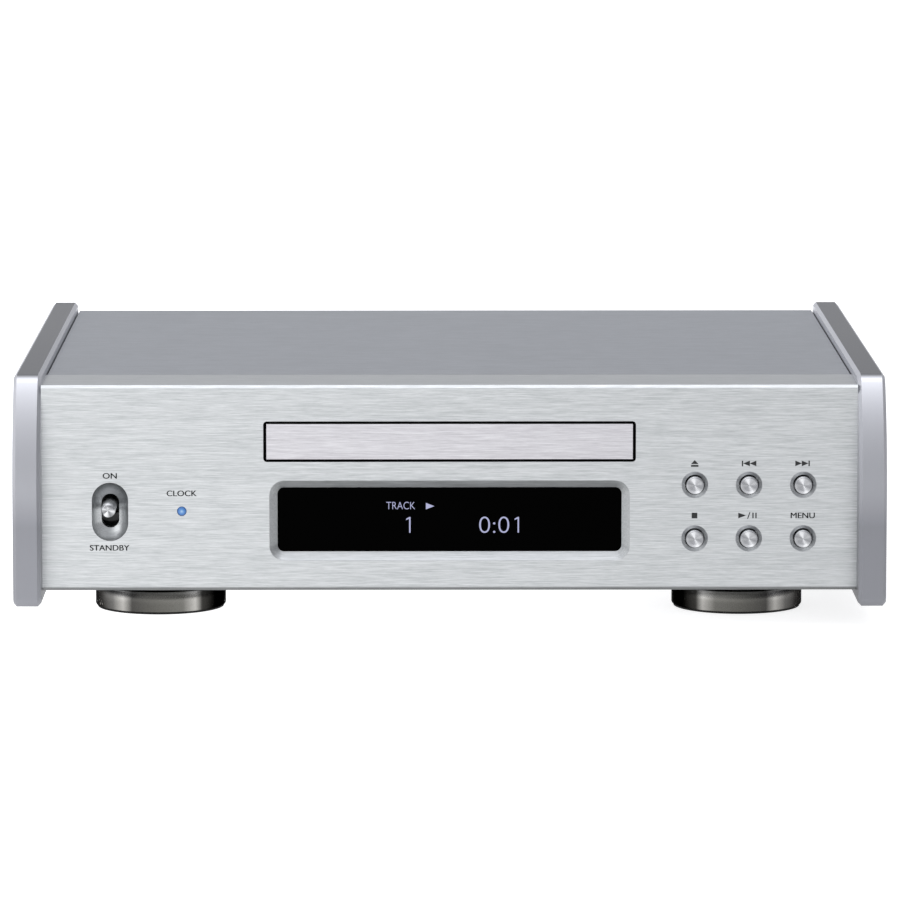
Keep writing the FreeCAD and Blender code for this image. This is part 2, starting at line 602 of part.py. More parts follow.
def tray_drive():
    """Motor, belt and gears on the deck, under the front of the tray."""
    pinion = gear("pinion_wheel", "pinion_teeth", "pinion_side", "drive_row", 180, "gear_top - 1.5",
                  "gear_top")
    bore = rod("pinion_bore", "Z", "axle_radius + axle_fit", "56", "58", "pinion_side", "drive_row")
    keep(cut("tray_pinion", pinion, [bore]))
    wheel = gear("idler_wheel", "idler_teeth", "idler_side", "drive_row", 195, "pulley_high - 0.5",
                 "gear_top")
    pulley = rod("idler_pulley", "Z", "pulley_radius", "pulley_low", "pulley_high", "idler_side",
                 "drive_row")
    bore = rod("idler_bore", "Z", "axle_radius + axle_fit", "50", "58", "idler_side", "drive_row")
    keep(cut("pulley_gear", fuse("idler_blank", [wheel, pulley]), [bore]))
    keep(rod("loading_motor", "Z", "motor_radius", "28", "deck_level", "motor_side", "motor_row"))
    shaft = rod("motor_shaft", "Z", "1", "deck_level", "55", "motor_side", "motor_row")
    wheel = rod("motor_wheel", "Z", "3", "pulley_low", "pulley_high", "motor_side", "motor_row")
    keep(fuse("motor_pulley", [shaft, wheel]))
    ends = [(value_of("idler_side"), value_of("drive_row"), value_of("pulley_radius + 0.1")),
            (value_of("motor_side"), value_of("motor_row"), 3.1)]
    outer = loop_face([(x, y, radius + 1.1) for x, y, radius in ends])
    belt = doc.addObject("Part::Feature", "loading_belt")
    belt.Shape = outer.cut(loop_face(ends)).extrude(V(0, 0, 1.6))
    keep(place(belt, "0", "0", "belt_level"))


def loop_face(circles):
    """The face inside an open belt round two circles, each given as x, y and radius."""
    (ax, ay, ar), (bx, by, br) = circles
    distance = math.hypot(bx - ax, by - ay)
    heading = math.atan2(by - ay, bx - ax)
    lean = math.acos((ar - br) / distance)

    def rim(x, y, radius, angle):
        return V(x + radius * math.cos(angle), y + radius * math.sin(angle), 0)

    upper, lower = heading + lean, heading - lean
    edges = [Part.makeLine(rim(ax, ay, ar, upper), rim(bx, by, br, upper)),
             Part.Arc(rim(bx, by, br, upper), rim(bx, by, br, heading),
                      rim(bx, by, br, lower)).toShape(),
             Part.makeLine(rim(bx, by, br, lower), rim(ax, ay, ar, lower)),
             Part.Arc(rim(ax, ay, ar, lower), rim(ax, ay, ar, heading + math.pi),
                      rim(ax, ay, ar, upper)).toShape()]
    return Part.Face(Part.Wire(edges))


# Lifting traverse: cam slide, chassis, spindle, pickup and its screw drive

def cam_slide():
    """A plate whose two slanted slots lift the traverse by its pins as it slides to the right."""
    plate = box("cam_plate", ("-36", "40"), ("cam_front", "cam_front + 3"), ("34", "53"))
    slots = []
    groove = value_of("pin_radius") + 0.2
    slope = math.degrees(math.atan2(value_of("lift"), value_of("cam_travel")))
    for number, x in enumerate(("-pin_spread", "pin_spread")):
        channel = doc.addObject("Part::Box", f"cam_channel_{number}")
        channel.Placement = FreeCAD.Placement(V(), FreeCAD.Rotation(V(0, 1, 0), slope))
        bind(channel, Length="sqrt(cam_travel ^ 2 + lift ^ 2)", Width="5", Height=str(2 * groove))
        lean = math.radians(slope)
        place(channel, f"{x} - cam_travel - {groove * math.sin(lean)}", "cam_front - 1",
              f"pin_level + lift - {groove * math.cos(lean)}")
        ends = [rod(f"cam_end_{number}_low", "Y", str(groove), "cam_front - 1", "cam_front + 4", x,
                    "pin_level"),
                rod(f"cam_end_{number}_high", "Y", str(groove), "cam_front - 1", "cam_front + 4",
                    f"{x} - cam_travel", "pin_level + lift")]
        slots += [channel] + ends
    keep(cut("cam_slide", plate, slots))


def traverse():
    """The plate that lifts, with its two cam pins, the blocks for the guide rods and the rods."""
    sides = (-1, 1)
    plate = box("traverse_plate", ("-45", "45"), ("cam_front + 6", "56"), ("plate_low", "plate_high"))
    pins = [rod(f"traverse_pin_{side}", "Y", "pin_radius", "cam_front - 0.5", "cam_front + 6.5",
                f"{side} * pin_spread", "pin_level") for side in sides]
    blocks = [box(f"rod_block_{side}_{y}", span(f"{side} * rod_spread", "6"), (str(y), f"{y} + 3"),
                  ("plate_high - 0.5", "rod_level + 2.5")) for side in sides for y in (-30, 36)]
    bearing = box("screw_block", span("lead_side", "6"), ("-33", "-29"),
                  ("plate_high - 0.5", "rod_level + 2.5"))
    holes = [rod(f"lift_hole_{side}_{row}", "Z", "lift_radius + 0.3", "plate_low - 1",
                 "plate_high + 1", f"{side} * lift_spread", row)
             for side in sides for row in ("lift_front", "lift_rear")]
    holes += [rod(f"rod_bore_{side}", "Y", "rod_radius", "-31", "40", f"{side} * rod_spread",
                  "rod_level") for side in sides]
    holes += [rod("screw_bore", "Y", "rod_radius + axle_fit", "-34", "-28", "lead_side", "rod_level"),
              rod("spindle_bore", "Z", "spindle_radius + 0.5", "plate_low - 1", "plate_high + 1",
                  "0", "disc_centre")]
    keep(cut("traverse_chassis", fuse("traverse_blank", [plate, bearing] + pins + blocks), holes))
    keep(group("guide_rods", [rod(f"guide_rod_{side}", "Y", "rod_radius", "-30", "39",
                                  f"{side} * rod_spread", "rod_level") for side in sides]))


def spindle():
    keep(cut("spindle_motor", rod("spindle_can", "Z", "13", "30", "plate_low", "0", "disc_centre"),
             [rod("spindle_well", "Z", "spindle_radius + 0.1", "38", "41", "0", "disc_centre")]))
    table = [("0", "38.5"), ("spindle_radius", "38.5"), ("spindle_radius", "50"), ("15", "50"),
             ("15", "53"),
             ("7.3", "53"), ("7.3", "55.5"), ("5.8", "57"), ("0", "57")]
    keep(turned("turntable", "Z", table, "0", "disc_centre"))


def pickup():
    carriage = box("sled_body", ("-28", "28"), ("-26", "0"), ("43.5", "50"))
    nut = box("sled_nut", ("27.9", "37.4"), ("-20", "-8"), ("43.5", "49.5"))
    bores = [rod(f"sled_bore_{side}", "Y", "rod_radius + rod_fit", "-27", "1",
                 f"{side} * rod_spread", "rod_level") for side in (-1, 1)]
    bores.append(rod("sled_nut_bore", "Y", "rod_radius + 0.15", "-27", "1", "lead_side", "rod_level"))
    bores.append(rod("sled_lens_well", "Z", "lens_radius + 0.4", "47", "51", "0", "lens_setback"))
    keep(cut("pickup_sled", fuse("sled_blank", [carriage, nut]), bores))
    lens = [("0", "48"), ("lens_radius", "48"), ("lens_radius", "51.5"), ("3.2", "51.5"),
            ("2.4", "52.5"), ("0", "53")]
    keep(turned("objective_lens", "Z", lens, "0", "lens_setback"))
    keep(rod("sled_screw", "Y", "rod_radius", "-32", "41.2", "lead_side", "rod_level"))
    keep(cut("sled_motor", rod("sled_motor_can", "Y", "4.2", "40", "54", "lead_side", "rod_level"),
             [rod("sled_motor_well", "Y", "rod_radius + axle_fit", "39", "41.5", "lead_side",
                  "rod_level")]))


# Electronics and rear connections

def board(name, xs, ys, chips):
    """A circuit board on four posts, with its flat components fused on."""
    top = "board_level + board_thickness"
    slab = box(name + "_slab", xs, ys, ("board_level", top))
    pieces = [box(f"{name}_chip_{number}", (x0, x1), (y0, y1), (top, f"{top} + {height}"))
              for number, (x0, x1, y0, y1, height) in enumerate(chips)]
    spots = [(f"{x} + {dx}", f"{y} + {dy}") for x, dx in ((xs[0], 5), (xs[1], -5))
             for y, dy in ((ys[0], 5), (ys[1], -5))]
    holes = [rod(f"{name}_hole_{number}", "Z", "screw_radius + screw_fit", "board_level - 1",
                 f"{top} + 1", x, y) for number, (x, y) in enumerate(spots)]
    keep(cut(name, fuse(name + "_populated", [slab] + pieces), holes))
    POSTS.extend([
        cut(f"{name}_post_{number}", rod(f"{name}_stud_{number}", "Z", "3.5", "floor_top",
                                         "board_level", x, y),
            [rod(f"{name}_tap_{number}", "Z", "screw_radius + screw_fit", "board_level - 5",
                 "board_level + 1", x, y)]) for number, (x, y) in enumerate(spots)])
    BOARD_SCREWS.extend([
        fuse(f"{name}_screw_{number}", [
            rod(f"{name}_shank_{number}", "Z", "screw_radius", "board_level - 4", top, x, y),
            rod(f"{name}_head_{number}", "Z", "2.8", top, f"{top} + 1.8", x, y)])
        for number, (x, y) in enumerate(spots)])


def electronics():
    chips = [("90", "104", "-30", "-16", 1.4), ("84", "94", "10", "20", 1.2),
             ("104", "116", "14", "22", 1.2), ("88", "96", "48", "66", 1.6),
             ("108", "120", "50", "58", 3.0)]
    board("main_board", ("72", "130"), ("-62", "94"), chips)
    board("supply_board", ("-130", "-72"), ("-74", "6"), [("-112", "-96", "-66", "-56", 12)])
    top = "board_level + board_thickness"
    spots = [(x, y) for y in ("-40", "-20") for x in ("-120", "-102")]
    keep(group("filter_capacitors", [
        rod(f"capacitor_{number}", "Z", "capacitor_radius", top, f"{top} + capacitor_height", x, y)
        for number, (x, y) in enumerate(spots)]))
    sink = (top, f"{top} + sink_height")
    web = box("sink_web", ("-84", "-81"), ("-50", "-8"), sink)
    fins = [box(f"sink_fin_{number}", ("-92", "-80.5"),
                (f"-50 + {number} * fin_pitch", f"-48.5 + {number} * fin_pitch"), sink)
            for number in range(7)]
    keep(fuse("heat_sink", [web] + fins))
    middle = ("core_side", "core_setback")
    ring = rod("core_ring", "Z", "core_radius", "floor_top", "core_top", *middle)
    keep(cut("transformer", ring,
             [rod("core_hole", "Z", "core_bore", "floor_top", "core_top + 1", *middle)]))
    plate = rod("clamp_plate", "Z", "24", "core_top", "core_top + 1.5", *middle)
    bolt = rod("clamp_bolt", "Z", "3", "floor_top", "core_top + 5", *middle)
    keep(fuse("transformer_clamp", [plate, bolt]))


def connectors():
    for name, start, radius, reach, bore in (("coax_jack", "coax", "4.15", "9", "1.6"),
                                             ("clock_jack", "clock", "4.85", "tail - rear_outer", "3.6")):
        x, z = REAR_SPOTS[start]
        inner = {"coax": "3.1", "clock": "4.1"}[start]
        barrel = rod(name + "_barrel", "Y", radius, "rear_outer", f"rear_outer + {reach}", x, z)
        flange = rod(name + "_flange", "Y", "6.2", "rear_outer", "rear_outer + 1.2", x, z)
        neck = rod(name + "_neck", "Y", inner, "rear_inner - 8", "rear_outer + 0.5", x, z)
        well = rod(name + "_well", "Y", bore, "rear_outer + 0.8", "tail + 1", x, z)
        pieces = [barrel, flange, neck]
        if start == "clock":
            pieces.append(rod(name + "_lugs", "X", "1", f"{x} - 5.4", f"{x} + 5.4", "tail - 3", z))
        body = cut(name + "_shell", fuse(name + "_blank", pieces), [well])
        if start == "clock":
            pin = rod(name + "_pin", "Y", "0.7", "rear_outer", "tail - 3", x, z)
            body = fuse(name + "_pinned", [body, pin])
        keep(group(name, [body]))
    x, z = OPTICAL
    shell = box("optical_shell", span(x, "optical_size"), ("rear_inner - 9", "back + 0.4"),
                span(z, "optical_size"))
    port = box("optical_port", span(x, "7"), ("rear_inner - 5", "back + 1"), span(z, "7"))
    keep(cut("optical_jack", shell, [port]))
    flap = box("optical_flap", span(x, "6.4"), ("back - 0.8", "back"), (f"{z} - 3.2", f"{z} + 2.8"))
    pin = rod("optical_pin", "X", "0.4", f"{x} - 3.4", f"{x} + 3.4", "back - 0.4", f"{z} + 3")
    keep(fuse("optical_shutter", [flap, pin]))


def inlet():
    x, z = INLET
    body = box("inlet_body", span(x, "inlet_width"), ("rear_inner - 12", "rear_outer + 0.1"),
               span(z, "inlet_height"))
    flange = box("inlet_flange", span(x, "50"), ("rear_outer", "rear_outer + 3"), span(z, "22"))
    cavity = box("inlet_cavity", span(x, "24.2"), ("rear_inner - 10", "rear_outer + 4"),
                 span(z, "16.4"))
    shell = cut("inlet_shell", fuse("inlet_blank", [body, flange]), [cavity])
    blades = [box(f"inlet_blade_{number}", (f"{x} + {dx} - 1", f"{x} + {dx} + 1"),
                  ("rear_inner - 10.5", "rear_outer - 1"), (f"{z} + {dz} - 2", f"{z} + {dz} + 2"))
              for number, (dx, dz) in enumerate([(-7, -2), (0, 2), (7, -2)])]
    keep(fuse("power_inlet", [shell] + blades))


for make in (front_panel, side_panels, cover, chassis, feet, rear_panel, display, keys, toggle,
             lamp, disc_tray, loader_frame, clamp, tray_drive, cam_slide, traverse, spindle,
             pickup, electronics, connectors, inlet):
    make()
keep(group("chassis_posts", POSTS))
keep(group("board_screws", BOARD_SCREWS))
doc.recompute()

os.makedirs("parts", exist_ok=True)
for item in doc.Objects:
    if "Invalid" in item.State or "Error" in item.State:
        raise RuntimeError(f"{item.Label} did not recompute: {item.State}")
for piece in PARTS:
    if piece.Shape.isNull() or not piece.Shape.isValid() or not piece.Shape.Solids:
        raise RuntimeError(f"{piece.Label} is not a valid solid")
    piece.Shape.exportStep(f"parts/{piece.Label}.step")
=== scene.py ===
import bmesh
import bpy
import math
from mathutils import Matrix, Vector


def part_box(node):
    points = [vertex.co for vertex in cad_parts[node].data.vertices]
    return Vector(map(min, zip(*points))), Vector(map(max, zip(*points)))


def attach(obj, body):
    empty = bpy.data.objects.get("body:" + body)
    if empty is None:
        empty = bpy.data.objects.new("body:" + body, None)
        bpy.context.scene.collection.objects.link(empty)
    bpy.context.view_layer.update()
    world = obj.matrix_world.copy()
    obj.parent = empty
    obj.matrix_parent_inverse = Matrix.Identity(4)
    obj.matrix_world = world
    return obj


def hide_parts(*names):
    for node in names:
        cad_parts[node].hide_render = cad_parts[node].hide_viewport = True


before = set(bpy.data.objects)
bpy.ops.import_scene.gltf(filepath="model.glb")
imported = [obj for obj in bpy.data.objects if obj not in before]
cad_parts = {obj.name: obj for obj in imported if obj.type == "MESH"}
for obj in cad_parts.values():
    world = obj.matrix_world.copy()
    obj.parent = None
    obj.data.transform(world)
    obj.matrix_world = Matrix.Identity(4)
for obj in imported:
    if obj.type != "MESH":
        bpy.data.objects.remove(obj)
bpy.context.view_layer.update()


# Front panel: a thick aluminium extrusion with its top return, brushed from end to end and
# anodised silver. The CAD node carries its shape; this section gives it the brushed finish,
# with painted shade along its lower edge.

def linear(hex_colour):
    """An sRGB hex value as the linear colour that the shaders take."""
    channels = [int(hex_colour[place:place + 2], 16) / 255 for place in (1, 3, 5)]
    bent = [c / 12.92 if c <= 0.04045 else ((c + 0.055) / 1.055) ** 2.4 for c in channels]
    return (*bent, 1.0)


def add(tree, kind, inputs=None, **settings):
    """Adds a node; an input is a plain value or the socket that feeds it."""
    node = tree.nodes.new(kind)
    for name, value in settings.items():
        setattr(node, name, value)
    for name, value in (inputs or {}).items():
        if isinstance(value, bpy.types.NodeSocket):
            tree.links.new(value, node.inputs[name])
        else:
            node.inputs[name].default_value = value
    return node


def start_material(name, **shader_values):
    """A new material with one principled shader; returns the material, its tree and shader."""
    material = bpy.data.materials.new(name)
    material.use_nodes = True
    tree = material.node_tree
    shader = tree.nodes["Principled BSDF"]
    for socket, value in shader_values.items():
        shader.inputs[socket.replace("_", " ")].default_value = value
    return material, tree, shader


def object_pattern(tree, scale):
    """Object coordinates stretched by a scale per metre along each axis."""
    where = add(tree, "ShaderNodeTexCoord")
    mapping = add(tree, "ShaderNodeMapping", {"Vector": where.outputs["Object"],
                                              "Scale": scale})
    return mapping.outputs["Vector"]


def brushed_metal(name, dark, light, roughness, line_mm=0.24, bump=0.12):
    """Anodised aluminium brushed along X: fine short lines that vary tone and gloss, and painted
    shade that darkens the lower edge."""
    material, tree, shader = start_material(name, Metallic=1.0)
    across = 1000 / line_mm
    scale = (130, across, across)
    fine = add(tree, "ShaderNodeTexNoise", {"Vector": object_pattern(tree, scale), "Scale": 1.0,
                                            "Detail": 4.0, "Roughness": 0.7})
    broad_scale = (25, across / 4, across / 4)
    broad = add(tree, "ShaderNodeTexNoise", {"Vector": object_pattern(tree, broad_scale),
                                             "Scale": 1.0, "Detail": 2.0, "Roughness": 0.5})
    lines = add(tree, "ShaderNodeMix", {"Factor": 0.15, "A": fine.outputs["Fac"],
                                        "B": broad.outputs["Fac"]}, data_type="FLOAT")
    tone = add(tree, "ShaderNodeValToRGB", {"Fac": lines.outputs["Result"]})
    tone.color_ramp.elements[0].position, tone.color_ramp.elements[1].position = 0.35, 0.65
    tone.color_ramp.elements[0].color = linear(dark)
    tone.color_ramp.elements[1].color = linear(light)
    gloss = add(tree, "ShaderNodeMapRange", {"Value": lines.outputs["Result"], "From Min": 0.3,
                                             "From Max": 0.7, "To Min": roughness - 0.05,
                                             "To Max": roughness + 0.05})
    ridges = add(tree, "ShaderNodeBump", {"Height": lines.outputs["Result"], "Strength": bump,
                                          "Distance": 0.00005})
    place = add(tree, "ShaderNodeSeparateXYZ", {"Vector": object_pattern(tree, (1, 1, 1))})
    # Painted shade: the tone is darkened in a thin band at the lower edge of the panel.
    edge_low, edge_high, painted_edge_depth = 0.0131, 0.0137, 0.35
    painted_edge_shade = add(tree, "ShaderNodeMapRange", {"Value": place.outputs["Z"], "From Min": edge_low,
                                             "From Max": edge_high, "To Min": painted_edge_depth,
                                             "To Max": 1.0})
    painted_shade_tone = add(tree, "ShaderNodeVectorMath", {0: tone.outputs["Color"],
                                               "Scale": painted_edge_shade.outputs[0]}, operation="SCALE")
    tree.links.new(painted_shade_tone.outputs["Vector"], shader.inputs["Base Color"])
    tree.links.new(gloss.outputs["Result"], shader.inputs["Roughness"])
    tree.links.new(ridges.outputs["Normal"], shader.inputs["Normal"])
    return material


def dress(node_name, material):
    """Gives a CAD node its finish in every material slot that it has."""
    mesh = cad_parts[node_name].data
    if not mesh.materials:
        mesh.materials.append(material)
    for index in range(len(mesh.materials)):
        mesh.materials[index] = material


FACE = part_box("tray_front")[0][1]
brushed_silver = brushed_metal("brushed_silver_anodised", "#A1A4A5", "#C7C9CA", 0.36)
dress("front_panel", brushed_silver)


# Top cover: a flat aluminium sheet, brushed across the cabinet and anodised a little greyer than
# the front, dropped between the end plates and folded down at the back.

brushed_grey = brushed_metal("brushed_grey_anodised", "#898C91", "#ABAEB3", 0.42, line_mm=0.3)
dress("top_cover", brushed_grey)


# End plates: thick solid aluminium, bead blasted and anodised, with eased edges. The front edge
# leans back in one long curve to the top, and the plate stands proud of the front panel. Their
# colour carries painted shade: darker low down and much darker on the top faces.

def blasted_metal(name, low, high, grain_mm, roughness):
    """Bead-blasted aluminium: fine even grain, with painted shade that makes it darker low down
    and much darker on top.
    """
    material, tree, shader = start_material(name, Metallic=1.0)
    split = add(tree, "ShaderNodeSeparateXYZ", {"Vector": object_pattern(tree, (1, 1, 1))})
    # Painted shade: the tone runs from the low colour near the foot of the plate to the high one
    # up top.
    painted_shade_rise = add(tree, "ShaderNodeMapRange", {"Value": split.outputs["Z"], "From Min": 0.035,
                                            "From Max": 0.08})
    painted_height_shade = add(tree, "ShaderNodeValToRGB", {"Fac": painted_shade_rise.outputs["Result"]})
    painted_height_shade.color_ramp.elements[0].color = linear(low)
    painted_height_shade.color_ramp.elements[1].color = linear(high)
    facing = add(tree, "ShaderNodeSeparateXYZ",
                 {"Vector": add(tree, "ShaderNodeNewGeometry").outputs["Normal"]})
    # Painted shade: faces that look upward are darkened to about a quarter of their tone.
    painted_top_depth = 0.26
    painted_top_shade = add(tree, "ShaderNodeMapRange", {"Value": facing.outputs["Z"], "From Min": 0.75,
                                              "From Max": 0.97, "To Min": 1.0,
                                              "To Max": painted_top_depth})
    painted_shade_tone = add(tree, "ShaderNodeVectorMath", {0: painted_height_shade.outputs["Color"],
                                               "Scale": painted_top_shade.outputs[0]}, operation="SCALE")
    tree.links.new(painted_shade_tone.outputs["Vector"], shader.inputs["Base Color"])
    grain = add(tree, "ShaderNodeTexNoise", {
        "Vector": object_pattern(tree, (1000 / grain_mm,) * 3), "Scale": 1.0, "Detail": 2.0,
        "Roughness": 0.6})
    gloss = add(tree, "ShaderNodeMapRange", {"Value": grain.outputs["Fac"], "From Min": 0.3,
                                             "From Max": 0.7, "To Min": roughness - 0.04,
                                             "To Max": roughness + 0.04})
    pits = add(tree, "ShaderNodeBump", {"Height": grain.outputs["Fac"], "Strength": 0.25,
                                        "Distance": 0.00004})
    tree.links.new(gloss.outputs["Result"], shader.inputs["Roughness"])
    tree.links.new(pits.outputs["Normal"], shader.inputs["Normal"])
    return material


def piece_from(name, points, faces, material, body, *stands_for):
    """A mesh piece in the row frame that rides on a body and may stand for CAD nodes."""
    mesh = bpy.data.meshes.new(name)
    mesh.from_pydata(points, [], faces)
    mesh.materials.append(material)
    piece = bpy.data.objects.new(name, mesh)
    bpy.context.collection.objects.link(piece)
    finish_normals(mesh)
    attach(piece, body)
    if stands_for:
        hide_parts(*stands_for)
    return piece


def finish_normals(mesh, crease_degrees=35):
    """Faces turned outwards, and smooth shading that breaks at sharp edges."""
    work = bmesh.new()
    work.from_mesh(mesh)
    bmesh.ops.remove_doubles(work, verts=work.verts, dist=1e-6)
    bmesh.ops.recalc_face_normals(work, faces=work.faces)
    for face in work.faces:
        face.smooth = True
    for edge in work.edges:
        if len(edge.link_faces) == 2 and edge.calc_face_angle() > math.radians(crease_degrees):
            edge.smooth = False
    work.to_mesh(mesh)
    work.free()


def arc_points(centre, radius, start, end, count):
    """Points of an arc in (y, z), its angles in degrees from +Y towards +Z."""
    turns = [math.radians(start + (end - start) * step / (count - 1)) for step in range(count)]
    return [(centre[0] + radius * math.cos(turn), centre[1] + radius * math.sin(turn))
            for turn in turns]


def end_plate_outline(low, high, inset):
    """The plate's side view, moved inwards by inset: corners and the long front curve as arcs."""
    front, back, bottom, top = (low[1] + inset, high[1] - inset, low[2] + inset, high[2] - inset)
    nose, heel, rear = 0.006 - inset * 0.4, 0.003 - inset * 0.4, 0.0025 - inset * 0.4
    sweep, lean = 0.066, 34.0
    brow_y = front + sweep * (1 - math.cos(math.radians(lean)))
    brow_z = top - nose * (1 - math.sin(math.radians(lean)))
    knee_z = brow_z - sweep * math.sin(math.radians(lean))
    points = [(front, knee_z)]
    points += arc_points((front + sweep, knee_z), sweep, 180, 180 - lean, 14)[1:]
    centre = (brow_y + nose * math.cos(math.radians(lean)), top - nose)
    points += arc_points(centre, nose, 180 - lean, 90, 7)[1:]
    points += arc_points((back - rear, top - rear), rear, 90, 0, 5)
    points += arc_points((back - rear, bottom + rear), rear, 0, -90, 5)
    points += arc_points((front + heel, bottom + heel), heel, -90, -180, 7)
    return points


def end_plate(name, side):
    """One plate as rings of its outline: chamfered outside and inside, capped on both faces."""
    low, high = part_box(name)
    bevel = 0.0011
    inner, outer = (low[0], high[0]) if side > 0 else (high[0], low[0])
    rings = [(inner, bevel), (inner + side * bevel, 0.0), (outer - side * bevel, 0.0),
             (outer, bevel)]
    points = []
    for x, inset in rings:
        points += [(x, y, z) for y, z in end_plate_outline(low, high, inset)]
    count = len(points) // len(rings)
    faces = [tuple(range(count)), tuple(range(3 * count, 4 * count))]
    for ring in range(len(rings) - 1):
        for step in range(count):
            after = (step + 1) % count
            faces.append((ring * count + step, ring * count + after,
                          (ring + 1) * count + after, (ring + 1) * count + step))
    return piece_from(name.replace("side_panel", "end_plate"), points, faces, blasted_silver,
                      "base", name)


blasted_silver = blasted_metal("bead_blasted_anodised", "#838489", "#CBCCD1", 0.25, 0.42)
for name, side in (("side_panel_left", -1), ("side_panel_right", 1)):
    plate = end_plate(name, side)


# Display: a smoked glass pane set into the bevelled opening from behind, with the characters of
# the cell behind it shining through in a cool white.

smoked_glass, tree, shader = start_material("smoked_glass", Base_Color=linear("#010101"),
                                            Roughness=0.06, IOR=1.5)
shader.inputs["Specular IOR Level"].default_value = 0.006
haze = add(tree, "ShaderNodeTexNoise", {"Vector": object_pattern(tree, (60, 60, 60)), "Scale": 1.0,
                                        "Detail": 2.0})
smears = add(tree, "ShaderNodeMapRange", {"Value": haze.outputs["Fac"], "To Min": 0.04,
                                          "To Max": 0.09})
tree.links.new(smears.outputs["Result"], shader.inputs["Roughness"])
dress("display_window", smoked_glass)


def glowing(name, colour, strength):
    """A lit cell: its own colour, whatever light falls on it."""
    material, tree, shader = start_material(name, Base_Color=linear("#050505"), Roughness=0.5)
    shader.inputs["Emission Color"].default_value = linear(colour)
    shader.inputs["Emission Strength"].default_value = strength
    return material


def lettering(words, centre, height, stretch=1.0, swell=0.0):
    """Words as flat (x, z) outlines and faces, centred on a place, their capitals height tall;
    a negative swell thins the strokes."""
    curve = bpy.data.curves.new("words", "FONT")
    curve.body = words
    curve.align_x = "CENTER"
    curve.resolution_u = 6
    curve.offset = swell
    text = bpy.data.objects.new("words", curve)
    bpy.context.collection.objects.link(text)
    bpy.context.view_layer.update()
    depsgraph = bpy.context.evaluated_depsgraph_get()
    mesh = bpy.data.meshes.new_from_object(text.evaluated_get(depsgraph))
    bpy.data.objects.remove(text)
    xs = [vertex.co.x for vertex in mesh.vertices]
    ys = [vertex.co.y for vertex in mesh.vertices]
    scale = height / (max(ys) - min(ys))
    middle_x, middle_y = (max(xs) + min(xs)) / 2, (max(ys) + min(ys)) / 2
    points = [(centre[0] + (v.co.x - middle_x) * scale * stretch,
               centre[1] + (v.co.y - middle_y) * scale) for v in mesh.vertices]
    faces = [tuple(polygon.vertices) for polygon in mesh.polygons]
    bpy.data.meshes.remove(mesh)
    return points, faces


def shape(centre, corners):
    """One filled outline, its corners given in millimetres from its centre."""
    points = [(centre[0] + x / 1000, centre[1] + z / 1000) for x, z in corners]
    return points, [tuple(range(len(points)))]


def print_on(name, marks, level, material, facing=-1):
    """Flat marks joined into one piece in the plane y = level; facing 1 turns them to the back."""
    points, faces = [], []
    for flat, outline in marks:
        start = len(points)
        points += [(x, level, z) if facing < 0 else (-x, level, z) for x, z in flat]
        faces += [tuple(start + index for index in face) for face in outline]
    mesh = bpy.data.meshes.new(name)
    mesh.from_pydata(points, [], faces)
    mesh.materials.append(material)
    piece = bpy.data.objects.new(name, mesh)
    bpy.context.collection.objects.link(piece)
    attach(piece, "base")
    return piece


def mm(*values):
    """Millimetres as metres."""
    return tuple(value / 1000 for value in values)


pane_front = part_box("display_window")[0][1]
cell_white = glowing("display_cell_lit", "#A9ACCF", 1.0)
ONE = [(-0.2, -2.65), (0.28, -2.65), (0.28, 2.65), (-0.1, 2.65), (-1.2, 2.05), (-1.2, 1.6),
       (-0.2, 2.05)]


def shifted(corners, across):
    return [(x + across, z) for x, z in corners]


characters = [lettering("TRACK", mm(-16.3, 40.4), 0.0025, 0.82, -0.01),
              shape(mm(-6.5, 40.2), [(-1.4, -1.1), (1.4, 0.0), (-1.4, 1.1)]),
              shape(mm(-13.3, 33.9), ONE), lettering("0:0", mm(14.9, 33.9), 0.0055, 1.08, -0.016),
              shape(mm(22.9, 33.9), ONE)]
print_on("display_characters", characters, pane_front - 0.00003, cell_white)


# Printed labels: dark charcoal screen print in wide capitals over each control, with the usual
# transport symbols, all lying on the brushed face.

def screen_print(name, colour):
    """Matt ink with a faint mottle, as it lies on a brushed surface."""
    material, tree, shader = start_material(name, Roughness=0.6)
    mottle = add(tree, "ShaderNodeTexNoise", {"Vector": object_pattern(tree, (3000,) * 3),
                                              "Scale": 1.0})
    tone = add(tree, "ShaderNodeMapRange", {"Value": mottle.outputs["Fac"], "To Min": 0.92,
                                            "To Max": 1.08})
    ink = add(tree, "ShaderNodeMix", {"Factor": 1.0, "A": linear(colour), "B": (1, 1, 1, 1)},
              data_type="RGBA", blend_type="MULTIPLY")
    tree.links.new(tone.outputs["Result"], ink.inputs[7])
    tree.links.new(ink.outputs[2], shader.inputs["Base Color"])
    return material


charcoal_ink = screen_print("charcoal_screen_print", "#0D0F11")
KEY_COLUMNS, UPPER_LABEL, LOWER_LABEL = mm(81.6, 99.5, 117.7), 0.0549, 0.0374
TRIANGLE = [(-1.3, -0.95), (1.3, 0.0), (-1.3, 0.95)]
FORWARD = [(-1.12, -0.95), (1.12, 0.0), (-1.12, 0.95)]
BACKWARD = [(-x, z) for x, z in FORWARD[::-1]]
BAR = [(-0.22, -0.95), (0.22, -0.95), (0.22, 0.95), (-0.22, 0.95)]


